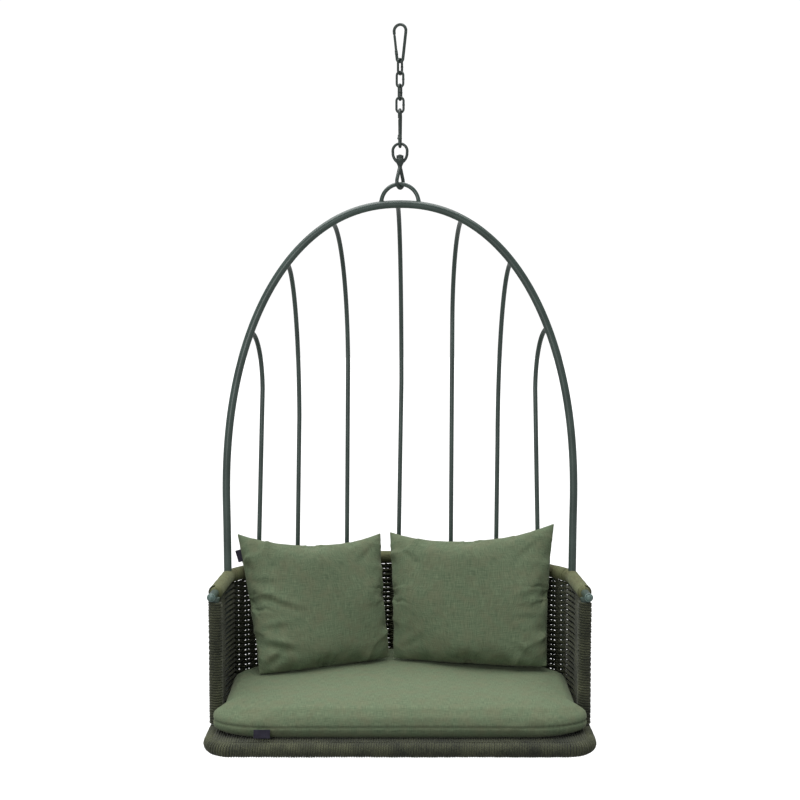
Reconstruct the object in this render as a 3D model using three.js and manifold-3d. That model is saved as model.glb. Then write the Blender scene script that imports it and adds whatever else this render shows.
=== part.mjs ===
// Hanging love-seat swing: a tall tube arch with seven bent back rods over a low rope-woven tub,
// hung from a short chain with a snap hook at each end and a swivel.
//
// Millimetres, +Z up, +X to the right of someone who faces the seat, +Y towards the back.
// The origin is the point where the ceiling hook bears: the inside top of the upper snap hook.
import * as THREE from 'three';
import { mergeVertices } from 'three/addons/utils/BufferGeometryUtils.js';
import Module from 'manifold-3d';

const wasm = await Module();
wasm.setup();

// ---- driving dimensions -------------------------------------------------------------------

const GAP = 0.3; // between pieces that touch
const SIDES = 12; // facets round a 25 mm tube

// snap hooks
const HOOK_WIRE = 9.5; // diameter
const HOOK_INNER = 105.8; // length inside the wire
const HOOK_WIDE_R = 20; // centreline radius of the wide top end
const HOOK_NARROW_R = 10; // centreline radius of the narrow bottom end
const GATE_WIRE = 8;
const GATE_FOOT = 16; // gate hinge, along the left side from the narrow end's arc
const GATE_HEAD = 8; // nose, along the left side below the wide end's arc
const TONGUE = 4; // thickness of the gate's flat tongue
const TONGUE_WIDTH = 7.2;
const TONGUE_SPAN = [-3.4, 12]; // its ends along the gate, from the rivet
const FORK_SPAN = [-7, 9]; // the slot it turns in, along the gate, from the rivet
const GATE_SPAN = [1.2, -0.8]; // the round wire stops this far from the foot and the nose
const RIVET_R = 2;
const RIVET_HEAD_R = 3.4;
const RIVET_HEAD = 1.2; // thickness

// chain
const LINK_WIRE = 7.5;
const LINK_INNER = 40;
const LINK_WIDTH = 30; // outer

// swivel
const BOW_WIRE = 9;
const BOW_WIDTH = 54.5;
const BOW_INNER = 43; // from the bow's inside top to the top of its hub
const HUB_HEIGHT = 22;
const HUB_TOP_R = 15;
const HUB_FOOT_R = 7.5;
const HUB_RIM = 6; // height of the hub's straight rim above its cone
const STEM_R = 5;
const STEM_PLAY = 0.3;
const STEM_PAST_NUT = 1.5;
const NUT_ACROSS = 20;
const NUT_HEIGHT = 11;
const NUT_ROOM = 2.6; // between the nut's flats and the bow's feet
const EYE_WIRE = 11.5;
const EYE_WIDTH = 52;
const EYE_HEIGHT = 75; // from the hub's foot to the eye's underside
const EYE_TOP_R = 5.5; // centreline radius of its narrow top

// how far each piece of the chain is turned about the vertical, degrees
const TURN = {
  upperHook: -22, links: [56, -24, 70, 0], lowerHook: 84, bow: 0, eye: 61,
};

// arch: a superellipse over straight legs
const TUBE_R = 12.5;
const ARCH_HALF = 559.4; // widest half width
const ARCH_WAIST = 700; // height of the widest place
const ARCH_RISE = 933; // from there to the apex
const ARCH_POWER = 2.17;
const LEG_FOOT_X = 556;
const RING_R = 59;
const RING_ROD_R = 6.5;
const RING_CENTRE = 1637;

// back rods: x on the arch, at the end of the bend and at the rear rail, and the bend's drop
const ROD_R = 7.5;
const RODS = [
  { top: -478, bent: -453, foot: -471, drop: 190 },
  { top: -361, bent: -340, foot: -349, drop: 505 },
  { top: -217, bent: -178, foot: -184, drop: 477 },
  { top: -8, bent: 5, foot: -5, drop: 588 },
  { top: 198, bent: 179, foot: 176, drop: 345 },
  { top: 356, bent: 331, foot: 328, drop: 600 },
  { top: 473, bent: 447, foot: 461, drop: 206 },
];

// top rail and arms
const RAIL_Z = 437;
const RAIL_BEND = [[556.5, 0], [480, 164], [270, 333], [0, 333]]; // half of the rear rail, in plan
const ARM_FRONT = [568, -309];
const SLEEVE_R = 22;
const SLEEVE_FRONT_Y = -237;
const SLEEVE_BREAK_Y = 24; // where the arm sleeve ends and the rear sleeve begins
const POST_X = 560;
const POST_Y = -288;

// base frame
const BASE_RAIL_R = 12.5;
const WRAP_R = 22; // rope wound round the base rail, outside
const BASE_Z = WRAP_R;
const BASE_HALF = 561;
const BASE_FRONT_Y = -466;
const BASE_CORNER = 75;
const WRAP_BREAK_Y = 32; // between the side and the back winding
const CROSS_BAR_R = 6;
const CROSS_BARS_Y = [-190, 10, 205];
const DECK_THICK = 7;
const DECK_TOP = 43;
const DECK_INSET = 18; // from the rail's centreline

// woven walls
const WALL = 18;
const ROPE = 7;
const WALL_TOP = RAIL_Z - SLEEVE_R - GAP;
const STAKE_R = 4.5;
const STAKES = 13;
const COLLAR_R = TUBE_R + ROPE; // the rope's turns round the legs and the posts

// cushions
const CUSHION = {
  bottom: 46, top: 132, front: -458, half: 566, waist: 537, back: 262, corner: 90, round: 26,
};
const PILLOWS = {
  pillow_left: { at: [-268, 66, 350], size: [474, 424, 136], lean: 20, yaw: 17, roll: 7 },
  pillow_right: { at: [250, 60, 350], size: [474, 424, 136], lean: 19, yaw: -15, roll: -1 },
};

// ---- finishes -----------------------------------------------------------------------------

const finish = (color, roughness, metalness) => () =>
  new THREE.MeshStandardMaterial({ color, roughness, metalness });
const paint = finish(0x3c4a45, 0.45, 0.4);
const rope = finish(0x3a3f2c, 0.9, 0);
const textile = finish(0x575b42, 0.85, 0);
const cloth = finish(0x5a6b52, 0.9, 0);
const capPlastic = finish(0x5a6c69, 0.5, 0);

// ---- solids -------------------------------------------------------------------------------

/** A closed manifold solid from a three.js geometry. */
function solid(geometry) {
  const bare = geometry.clone();
  bare.deleteAttribute('normal');
  bare.deleteAttribute('uv');
  const merged = mergeVertices(bare, 1e-4);
  return new wasm.Manifold(new wasm.Mesh({
    numProp: 3,
    vertProperties: new Float32Array(merged.attributes.position.array),
    triVerts: new Uint32Array(merged.index.array),
  }));
}

/** The three.js geometry of a manifold solid. */
function shell(body) {
  const { vertProperties, triVerts } = body.getMesh();
  const geometry = new THREE.BufferGeometry();
  geometry.setAttribute('position', new THREE.BufferAttribute(vertProperties, 3));
  geometry.setIndex(new THREE.BufferAttribute(triVerts, 1));
  geometry.computeVertexNormals();
  return geometry;
}

/** A curve through listed stations, so that a tube has one section at each of them. */
class StationCurve extends THREE.Curve {
  constructor(stations) {
    super();
    this.stations = stations;
  }

  getUtoTmapping(u) {
    return u;
  }

  getPoint(t, target = new THREE.Vector3()) {
    const last = this.stations.length - 1;
    const i = Math.min(Math.floor(t * last + 1e-9), last - 1);
    return target.lerpVectors(this.stations[i], this.stations[i + 1], t * last - i);
  }

  getTangent(t, target = new THREE.Vector3()) {
    const last = this.stations.length - 1;
    const i = Math.round(t * last);
    const here = this.stations[i];
    const back = this.stations[Math.max(i - 1, 0)];
    const ahead = this.stations[Math.min(i + 1, last)];
    const arriving = here.clone().sub(back).normalize();
    const leaving = ahead.clone().sub(here).normalize();
    return target.copy(arriving.add(leaving)).normalize();
  }
}

/** A round bar through the stations, with flat ends. */
function bar(stations, radius, sides = 12) {
  const ring = new THREE.Shape(circle(radius, sides));
  const extrudePath = new StationCurve(stations);
  const steps = stations.length - 1;
  return solid(new THREE.ExtrudeGeometry(ring, { steps, extrudePath, bevelEnabled: false }));
}

/** A closed ring of round bar along a plane loop. */
function loop(path, toSpace, radius, segments, sides) {
  class Lifted extends THREE.Curve {
    getPoint(t) {
      const p = path.getPoint(t % 1);
      return toSpace(p.x, p.y);
    }
  }
  return solid(new THREE.TubeGeometry(new Lifted(), segments, radius, sides, true));
}

/** Points of a regular polygon with its corners at the given radius and a flat on each side. */
function circle(radius, sides) {
  return Array.from({ length: sides }, (_, i) => {
    const a = (2 * Math.PI * (i + 0.5)) / sides;
    return new THREE.Vector2(radius * Math.cos(a), radius * Math.sin(a));
  });
}

/** A box between two corners. */
function block(low, high) {
  const [x, y, z] = [0, 1, 2].map((k) => high[k] - low[k]);
  const [cx, cy, cz] = [0, 1, 2].map((k) => (high[k] + low[k]) / 2);
  return solid(new THREE.BoxGeometry(x, y, z).translate(cx, cy, cz));
}

/** A plan outline pulled up between two heights. */
function prism(outline, low, high) {
  const geometry = new THREE.ExtrudeGeometry(new THREE.Shape(outline), {
    depth: high - low, bevelEnabled: false,
  });
  return solid(geometry.translate(0, 0, low));
}

/** A turned solid from a profile of radius and height, which starts and ends on the axis. */
function turned(profile, sides = 24) {
  const points = profile.map(([r, z]) => new THREE.Vector2(r, z));
  return solid(new THREE.LatheGeometry(points, sides).rotateX(Math.PI / 2));
}

/** A plain upright cylinder. */
function pillar(x, y, low, high, radius, sides = 16) {
  return turned([[0, low], [radius, low], [radius, high], [0, high]], sides).translate([x, y, 0]);
}

const v = (x, y, z) => new THREE.Vector3(x, y, z);
const mirrored = (points) => points.map((p) => v(-p.x, p.y, p.z));
const rad = (degrees) => (degrees * Math.PI) / 180;
const spread = (count, make) => Array.from({ length: count + 1 }, (_, i) => make(i / count));

/** Maps a sideways and an upward distance to space, in an upright plane turned about Z. */
function upright(turn, z0) {
  const c = Math.cos(rad(turn));
  const s = Math.sin(rad(turn));
  return (across, up) => v(c * across, s * across, z0 + up);
}

// ---- the object as a scene graph ------------------------------------------------------------

const swing = new THREE.Group();

/** Adds one sub-part under its own name. */
function add(name, body, material) {
  const mesh = new THREE.Mesh(shell(body), material());
  mesh.name = name;
  swing.add(mesh);
  return body;
}

// ---- snap hooks -----------------------------------------------------------------------------

/** The pear-shaped centreline of a hook, from the foot of its gate round to its nose. */
function hookLine() {
  const span = HOOK_INNER + HOOK_WIRE - HOOK_WIDE_R - HOOK_NARROW_R;
  const tilt = Math.asin((HOOK_WIDE_R - HOOK_NARROW_R) / span);
  const low = [0, HOOK_NARROW_R];
  const high = [0, HOOK_NARROW_R + span];
  const around = (centre, radius, angle) =>
    [centre[0] + radius * Math.cos(angle), centre[1] + radius * Math.sin(angle)];
  const leftLow = around(low, HOOK_NARROW_R, Math.PI + tilt);
  const leftHigh = around(high, HOOK_WIDE_R, Math.PI + tilt);
  const along = (distance, from = leftLow) => [
    from[0] - distance * Math.sin(tilt), from[1] + distance * Math.cos(tilt)];
  const hinge = along(GATE_FOOT);
  const nose = along(-GATE_HEAD, leftHigh);
  const line = [
    hinge,
    ...spread(8, (t) => around(low, HOOK_NARROW_R, Math.PI + tilt + t * (Math.PI - 2 * tilt))),
    ...spread(10, (t) => around(high, HOOK_WIDE_R, -tilt + t * (Math.PI + 2 * tilt))),
    nose,
  ];
  return { line, hinge, nose, tilt };
}

/** One snap hook with its inside top at height top: body, sprung gate and rivet. */
function snapHook(name, turn, top) {
  const { line, hinge, nose, tilt } = hookLine();
  const z0 = top - HOOK_INNER - HOOK_WIRE / 2;
  const place = (body) => body.rotate([0, 0, turn]).translate([0, 0, z0]);
  const flat = (p) => v(p[0], 0, p[1]);
  const across = (from, to, radius) =>
    bar([v(hinge[0], from, hinge[1]), v(hinge[0], to, hinge[1])], radius, 12);
  const lean = (body) => body.rotate([0, (-tilt * 180) / Math.PI, 0])
    .translate([hinge[0], 0, hinge[1]]);

  const half = HOOK_WIRE / 2;
  const flatPlate = (width, thick, span) =>
    lean(block([-width / 2, -thick / 2, span[0]], [width / 2, thick / 2, span[1]]));
  const slot = flatPlate(HOOK_WIRE + 2 * RIVET_R, TONGUE + 2 * GAP, FORK_SPAN);
  const eyeEnd = across(-half, half, half);
  const rivetRoom = across(-HOOK_WIRE, HOOK_WIRE, RIVET_R + GAP);
  const body = bar(line.map(flat), half, 12).add(eyeEnd).subtract(slot).subtract(rivetRoom);
  add(`${name}_body`, place(body), paint);

  const length = Math.hypot(nose[0] - hinge[0], nose[1] - hinge[1]);
  const tongue = flatPlate(TONGUE_WIDTH, TONGUE, TONGUE_SPAN);
  const wire = lean(pillar(0, 0, half + GATE_SPAN[0], length + GATE_SPAN[1], GATE_WIRE / 2, 12));
  const gate = wire.add(tongue).subtract(rivetRoom);
  add(`${name}_gate`, place(gate), paint);

  const under = half + GAP;
  const out = under + RIVET_HEAD;
  const rivet = turned([
    [0, -out], [RIVET_HEAD_R, -out], [RIVET_HEAD_R, -under], [RIVET_R, -under],
    [RIVET_R, under], [RIVET_HEAD_R, under], [RIVET_HEAD_R, out], [0, out],
  ], 16).rotate([90, 0, 0]).translate([hinge[0], 0, hinge[1]]);
  add(`${name}_rivet`, place(rivet), paint);
  return top - HOOK_INNER;
}

// ---- chain and swivel -------------------------------------------------------------------------

/** One welded chain link with its inside top at height top. Returns its inside bottom. */
function chainLink(name, turn, top) {
  const radius = (LINK_WIDTH - LINK_WIRE) / 2;
  const end = LINK_INNER / 2 + LINK_WIRE / 2 - radius;
  const path = new THREE.Path();
  path.moveTo(radius, -end);
  path.lineTo(radius, end);
  path.absarc(0, end, radius, 0, Math.PI);
  path.lineTo(-radius, -end);
  path.absarc(0, -end, radius, Math.PI, 2 * Math.PI);
  add(name, loop(path, upright(turn, top - LINK_INNER / 2), LINK_WIRE / 2, 24, 8), paint);
  return top - LINK_INNER;
}

/** The swivel's upper half: a round-topped bow that closes on a conical hub with a bore. */
function swivelBow(turn, top) {
  const reach = (BOW_WIDTH - BOW_WIRE) / 2;
  const hubTop = top - BOW_INNER;
  const crown = top + BOW_WIRE / 2 - reach;
  const at = upright(turn, 0);
  const foot = HUB_TOP_R - 5;
  const side = [
    at(foot, hubTop - 9), at(foot + 6, hubTop - 2), at(reach - 2.5, hubTop + 6),
    at(reach - 0.6, hubTop + 12),
    ...spread(10, (t) => at(reach * Math.cos(t * Math.PI), crown + reach * Math.sin(t * Math.PI))),
    at(0.6 - reach, hubTop + 12), at(2.5 - reach, hubTop + 6), at(-foot - 6, hubTop - 2),
    at(-foot, hubTop - 9),
  ];
  const hub = turned([
    [0, hubTop - HUB_HEIGHT], [HUB_FOOT_R, hubTop - HUB_HEIGHT], [HUB_TOP_R, hubTop - HUB_RIM],
    [HUB_TOP_R, hubTop], [0, hubTop],
  ]);
  const bore = pillar(0, 0, hubTop - HUB_HEIGHT - 5, hubTop + 5, STEM_R + STEM_PLAY, 24);
  const nutRoom = pillar(0, 0, hubTop, hubTop + 1.5 * NUT_HEIGHT, NUT_ACROSS / 2 + NUT_ROOM, 24);
  add('swivel_bow', bar(side, BOW_WIRE / 2, 12).add(hub).subtract(nutRoom).subtract(bore), paint);
  return hubTop;
}

/** The swivel's lower half: an eye on a stem that turns in the hub, held by a nut. */
function swivelEye(turn, hubTop) {
  const neck = hubTop - HUB_HEIGHT - GAP;
  const low = (EYE_WIDTH - EYE_WIRE) / 2;
  const high = EYE_TOP_R;
  const topCentre = neck - EYE_WIRE / 2 - high - 2;
  const bottomCentre = neck - EYE_HEIGHT + EYE_WIRE / 2 + low;
  const tilt = Math.asin((low - high) / (topCentre - bottomCentre));
  const path = new THREE.Path();
  path.absarc(0, topCentre, high, tilt, Math.PI - tilt);
  path.absarc(0, bottomCentre, low, Math.PI - tilt, 2 * Math.PI + tilt);
  path.closePath();
  const ring = loop(path, upright(turn, 0), EYE_WIRE / 2, 24, 10);
  const stemTop = hubTop + NUT_HEIGHT + STEM_PAST_NUT;
  const collar = turned([[0, neck - 9], [5.5, neck - 9], [7, neck - 3], [7, neck], [0, neck]]);
  const stem = pillar(0, 0, neck - 8, stemTop, STEM_R, 24);
  add('swivel_eye', ring.add(collar).add(stem), paint);
  const hexagon = circle(NUT_ACROSS / Math.sqrt(3), 6);
  const nut = prism(hexagon, hubTop + GAP, hubTop + GAP + NUT_HEIGHT)
    .subtract(pillar(0, 0, hubTop - 5, stemTop + 5, STEM_R + GAP, 24));
  add('swivel_nut', nut, paint);
  return bottomCentre - low + EYE_WIRE / 2;
}

let hang = snapHook('upper_hook', TURN.upperHook, 0);
TURN.links.forEach((turn, i) => {
  hang = chainLink(`chain_link_${i + 1}`, turn, hang + GAP);
});
hang = snapHook('lower_hook', TURN.lowerHook, hang + GAP);
hang = swivelBow(TURN.bow, hang + GAP);
hang = swivelEye(TURN.eye, hang);

// Heights from here on are above the underside of the base, which hangs at z = floor.
const floor = hang + GAP - (RING_CENTRE + RING_R - RING_ROD_R);
const raise = (body) => body.translate([0, 0, floor]);
const seat = (name, body, material) => add(name, raise(body), material);

// ---- frame ------------------------------------------------------------------------------------

/** Height and half width of the arch's centreline. */
const archHeight = (x) =>
  ARCH_WAIST + ARCH_RISE * (1 - Math.abs(x / ARCH_HALF) ** ARCH_POWER) ** (1 / ARCH_POWER);
const archLine = [
  v(LEG_FOOT_X, 0, BASE_Z + BASE_RAIL_R + GAP), v(LEG_FOOT_X + 1, 0, RAIL_Z),
  ...spread(28, (t) => {
    const a = t * Math.PI;
    const across = Math.sign(Math.cos(a)) * Math.abs(Math.cos(a)) ** (2 / ARCH_POWER);
    return v(ARCH_HALF * across, 0, ARCH_WAIST + ARCH_RISE * Math.sin(a) ** (2 / ARCH_POWER));
  }),
  v(-LEG_FOOT_X - 1, 0, RAIL_Z), v(-LEG_FOOT_X, 0, BASE_Z + BASE_RAIL_R + GAP),
];
const archTube = (radius) => bar(archLine, radius, SIDES);
const archRoom = archTube(TUBE_R + GAP);
seat('arch_tube', archTube(TUBE_R), paint);

const ringLine = spread(18, (t) => {
  const a = rad(-25 + t * 230);
  return v(RING_R * Math.cos(a), 0, RING_CENTRE + RING_R * Math.sin(a));
});
const ringFoot = block([-RING_R * 2, -20, RING_CENTRE - 60], [RING_R * 2, 20, archHeight(RING_R)]);
seat('hanging_ring', bar(ringLine, RING_ROD_R, 12).subtract(ringFoot).subtract(archRoom), paint);

/** The rear rail's half plan, from the arch's leg to the middle of the back. */
const railBend = new THREE.CubicBezierCurve(
  ...RAIL_BEND.map(([x, y]) => new THREE.Vector2(x, y)));
/** A point of the whole rear line: t from 0 at the right leg to 1 at the left leg. */
function rearPoint(t) {
  const p = railBend.getPointAt(1 - Math.abs(1 - 2 * t));
  return v(t < 0.5 ? p.x : -p.x, p.y, 0);
}
const rearLine = (z, steps = 16) => spread(steps, (t) => rearPoint(t).setZ(z));

const railRoom = bar(rearLine(RAIL_Z), TUBE_R + GAP, SIDES);
const behindLegs = block([-900, 4, 0], [900, 900, 900]);
seat('rear_rail', bar(rearLine(RAIL_Z), TUBE_R, SIDES).subtract(archRoom)
  .intersect(behindLegs), paint);

/** Stations of a back rod: a quarter ellipse backwards off the arch, then straight down. */
function rodLine({ top, bent, foot, drop }) {
  const z = archHeight(top);
  const depth = railY(foot);
  return [
    ...spread(10, (t) => {
      const back = Math.sin((t * Math.PI) / 2);
      const fall = drop * (1 - Math.cos((t * Math.PI) / 2));
      return v(top + (bent - top) * back, depth * back, z - fall);
    }),
    v(foot, depth, RAIL_Z + TUBE_R - 4),
  ];
}
const rodRooms = RODS.map((rod) => bar(rodLine(rod), ROD_R + GAP, 10));
RODS.forEach((rod, i) => {
  const body = bar(rodLine(rod), ROD_R, 10).subtract(archRoom).subtract(railRoom);
  seat(`back_rod_${i + 1}`, body, paint);
});

/**
 * The base rail's centreline: a rounded rectangle in front that closes along the rear line.
 * It starts and ends at the middle of the front.
 */
function baseLine() {
  const corner = (t) => {
    const a = t * (Math.PI / 2);
    return v(BASE_HALF - BASE_CORNER + BASE_CORNER * Math.sin(a),
      BASE_FRONT_Y + BASE_CORNER - BASE_CORNER * Math.cos(a), BASE_Z);
  };
  const right = [v(0, BASE_FRONT_Y, BASE_Z), ...spread(6, corner), v(BASE_HALF, -12, BASE_Z)];
  return [...right, ...rearLine(BASE_Z).slice(1, -1), ...mirrored(right).reverse()];
}
const baseTube = (radius, sides) => bar(baseLine(), radius, sides);
const baseRoom = baseTube(BASE_RAIL_R + GAP, SIDES);

const HANDS = { left: -1, right: 1 };
const flip = (points, side) => (side < 0 ? mirrored(points) : points);
const armLine = (side) =>
  flip([v(ARM_FRONT[0], ARM_FRONT[1], RAIL_Z), v(armX(-5), -5, RAIL_Z)], side);

for (const [where, side] of Object.entries(HANDS)) {
  seat(`arm_tube_${where}`, bar(armLine(side), TUBE_R, SIDES).subtract(archRoom), paint);

  // the end cap's plate continues the arm's line in front of the tube
  const [front, back] = armLine(side);
  const forward = front.clone().sub(back).normalize();
  const ahead = (d) => front.clone().addScaledVector(forward, d);
  seat(`rail_cap_${where}`, bar([ahead(GAP), ahead(GAP + 2.5)], TUBE_R, SIDES), capPlastic);

  const armRoom = bar([ahead(10), back], TUBE_R + GAP, SIDES);
  const post = pillar(side * POST_X, POST_Y, BASE_Z, RAIL_Z, TUBE_R, SIDES);
  seat(`front_post_${where}`, post.subtract(armRoom).subtract(baseRoom), paint);

  const sleeveLine = flip([
    v(armX(SLEEVE_FRONT_Y), SLEEVE_FRONT_Y, RAIL_Z), v(armX(0), 0, RAIL_Z),
    v(railX(SLEEVE_BREAK_Y), SLEEVE_BREAK_Y, RAIL_Z),
  ], side);
  const sleeve = bar(sleeveLine, SLEEVE_R, SIDES)
    .subtract(armRoom).subtract(railRoom).subtract(archRoom)
    .subtract(block([-900, SLEEVE_BREAK_Y - 6, 0], [900, 900, 900]));
  seat(`arm_sleeve_${where}`, sleeve, textile);
}

/** x of the arm tube's centreline at a given y. */
function armX(y) {
  return RAIL_BEND[0][0] + ((ARM_FRONT[0] - RAIL_BEND[0][0]) * y) / ARM_FRONT[1];
}

/** x of the right half of the rear rail's centreline at a given y, and its y at a given x. */
function railX(y) {
  return spread(400, (t) => railBend.getPoint(t)).find((q) => q.y >= y).x;
}
function railY(x) {
  return spread(400, (t) => railBend.getPoint(t)).find((q) => q.x <= Math.abs(x)).y;
}

/** A plan strip of the given half thickness along plan points. */
function strip(points, half) {
  const curve = new StationCurve(points);
  const normals = points.map((_, i) => {
    const tangent = curve.getTangent(i / (points.length - 1));
    return new THREE.Vector2(-tangent.y, tangent.x);
  });
  const edge = (sign) => points.map(
    (p, i) => new THREE.Vector2(p.x + sign * half * normals[i].x, p.y + sign * half * normals[i].y));
  return [...edge(1), ...edge(-1).reverse()];
}

/** The slot the stakes pass through, along the underside of a sleeve or the top of a winding. */
const stakeSlot = (low, high) => prism(strip(rearLine(0), STAKE_R + GAP), low, high);
const stakeLine = new StationCurve(rearLine(0));
const stakeSpots = Array.from(
  { length: STAKES }, (_, i) => stakeLine.getPoint((i + 1) / (STAKES + 1)));
const stakeRooms = stakeSpots.map((p) => pillar(p.x, p.y, 0, RAIL_Z, STAKE_R + GAP, 8));

const rearBreak = block([-900, -900, 0], [900, SLEEVE_BREAK_Y - 6 + GAP, 900]);
seat('rear_sleeve', [...rodRooms, stakeSlot(RAIL_Z - SLEEVE_R - 1, RAIL_Z)].reduce(
  (body, room) => body.subtract(room),
  bar(rearLine(RAIL_Z), SLEEVE_R, SIDES).subtract(railRoom).subtract(archRoom).subtract(rearBreak),
), textile);

// ---- base -------------------------------------------------------------------------------------

// the loop's two ends are welded at the middle of the front, a hair apart
seat('base_rail', baseTube(BASE_RAIL_R, SIDES)
  .subtract(block([-GAP / 2, -900, -9], [GAP / 2, -300, 90])), paint);

const barRooms = [];
CROSS_BARS_Y.forEach((y, i) => {
  const reach = y > 0 ? railX(y) : BASE_HALF;
  const line = [v(-reach, y, BASE_Z), v(reach, y, BASE_Z)];
  barRooms.push(bar(line, CROSS_BAR_R + GAP, 8));
  seat(`cross_bar_${i + 1}`, bar(line, CROSS_BAR_R, 8).subtract(baseRoom), paint);
});

const uprights = Object.values(HANDS).map(
  (side) => pillar(side * POST_X, POST_Y, 0, RAIL_Z, TUBE_R + GAP, SIDES));
const wound = [archRoom, ...uprights, ...barRooms, stakeSlot(BASE_Z, 2 * WRAP_R + 1)].reduce(
  (body, room) => body.subtract(room), baseTube(WRAP_R, SIDES).subtract(baseRoom));
const splitY = BASE_FRONT_Y + BASE_CORNER;
const wraps = {
  base_wrap_front: block([-900, -900, -9], [900, splitY, 90]),
  base_wrap_left: block([-900, splitY + GAP, -9], [0, WRAP_BREAK_Y, 90]),
  base_wrap_right: block([0, splitY + GAP, -9], [900, WRAP_BREAK_Y, 90]),
  base_wrap_back: block([-900, WRAP_BREAK_Y + GAP, -9], [900, 900, 90]),
};
for (const [name, region] of Object.entries(wraps)) {
  seat(name, wound.intersect(region), rope);
}

/** The base outline drawn in by a distance, as a plan polygon. */
function insideBase(inset) {
  const line = baseLine().slice(0, -1);
  const centre = v(0, -60, 0);
  return line.map((p) => {
    const inward = centre.clone().sub(p).setZ(0);
    const step = new THREE.Vector2(
      Math.min(Math.abs(inward.x), inset) * Math.sign(inward.x),
      Math.min(Math.abs(inward.y), inset) * Math.sign(inward.y));
    return new THREE.Vector2(p.x + step.x, p.y + step.y);
  });
}
const wrapRoom = baseTube(WRAP_R + GAP, SIDES);
const deck = prism(insideBase(DECK_INSET), DECK_TOP - DECK_THICK, DECK_TOP).subtract(wrapRoom);
seat('seat_deck', deck, rope);

// ---- woven walls ------------------------------------------------------------------------------

const wallFoot = WRAP_R * 2 + GAP;
const legs = Object.values(HANDS).map(
  (side) => pillar(side * LEG_FOOT_X, 0, wallFoot, WALL_TOP, COLLAR_R, 20));
stakeSpots.forEach((p, i) => {
  const stake = pillar(p.x, p.y, BASE_Z, RAIL_Z, STAKE_R, 8);
  seat(`stake_${i + 1}`, stake.subtract(railRoom).subtract(baseRoom), paint);
});

const rearWall = prism(strip(rearLine(0), WALL / 2), wallFoot, WALL_TOP)
  .add(legs[0]).add(legs[1]).subtract(archRoom);
seat('rear_weave', stakeRooms.reduce((body, room) => body.subtract(room), rearWall), rope);

for (const [where, side] of Object.entries(HANDS)) {
  const line = flip([v(POST_X, POST_Y, 0), v(LEG_FOOT_X, -COLLAR_R - GAP, 0)], side);
  const wall = prism(strip(line, WALL / 2), wallFoot, WALL_TOP)
    .add(pillar(side * POST_X, POST_Y, wallFoot, WALL_TOP, COLLAR_R, 20))
    .subtract(pillar(side * POST_X, POST_Y, 0, RAIL_Z, TUBE_R + GAP, SIDES));
  seat(`side_weave_${where}`, wall, rope);
}

// ---- cushions -----------------------------------------------------------------------------------

/** The seat cushion: flat, with large rounded front corners and a back that follows the wall. */
function seatCushion() {
  const { bottom, top, front, half, waist, back, corner, round } = CUSHION;
  const right = [
    ...spread(8, (t) => {
      const a = (t * Math.PI) / 2;
      return new THREE.Vector2(
        half - corner + corner * Math.sin(a), front + corner - corner * Math.cos(a));
    }),
    new THREE.Vector2(half, POST_Y - 60),
    new THREE.Vector2(waist, POST_Y - 24),
    new THREE.Vector2(waist, -36),
    ...spread(8, (t) => {
      const p = railBend.getPoint(0.12 + 0.88 * t);
      return new THREE.Vector2(p.x * 0.94 - 8, Math.min(p.y * 0.84, back) - 12);
    }),
  ].map((p) => new THREE.Vector2(Math.max(p.x, 0), p.y));
  const left = right.slice(0, -1).reverse().map((p) => new THREE.Vector2(-p.x, p.y));
  const geometry = new THREE.ExtrudeGeometry(new THREE.Shape([...right, ...left]), {
    depth: top - bottom - 2 * round,
    bevelEnabled: true,
    bevelThickness: round,
    bevelSize: round,
    bevelOffset: -round,
    bevelSegments: 2,
  });
  return solid(geometry.translate(0, 0, bottom + round));
}
seat('seat_cushion', seatCushion(), cloth);

/** A throw pillow: plump in the middle, thin at the seam, with pointed corners. */
function throwPillow({ at, size, lean, yaw, roll }) {
  const geometry = new THREE.SphereGeometry(1, 24, 12).rotateX(Math.PI / 2);
  const place = geometry.attributes.position;
  const p = new THREE.Vector3();
  for (let i = 0; i < place.count; i += 1) {
    p.fromBufferAttribute(place, i);
    const r = Math.hypot(p.x, p.y);
    const widest = Math.max(Math.abs(p.x), Math.abs(p.y)) || 1;
    const square = r / widest; // stretches the round outline to a square
    const x = p.x * square * (1 - 0.04 * (p.y * square) ** 2);
    const y = p.y * square * (1 - 0.04 * (p.x * square) ** 2);
    const plump = Math.sign(p.z) * Math.abs(p.z) ** 0.9;
    place.setXYZ(i, (x * size[0]) / 2, (-plump * size[2]) / 2, (y * size[1]) / 2);
  }
  const body = solid(geometry);
  return body.rotate([0, roll, 0]).rotate([-lean, 0, 0]).rotate([0, 0, yaw]).translate(at);
}
for (const [name, pillow] of Object.entries(PILLOWS)) {
  seat(name, throwPillow(pillow), cloth);
}

export default swing;
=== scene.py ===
"""A hanging love-seat swing: a tube arch with back rods over a rope-woven tub, with one seat cushion
and two throw pillows, hung from a short chain with a snap hook at each end and a swivel.

Shapes are worked out in millimetres. Heights of the seat count from the underside of its base and
heights of the chain from the point where the swing hangs; settle() turns both into metres.
"""
import math

import bmesh
import bpy
import numpy as np
from mathutils import Matrix, Vector


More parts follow.
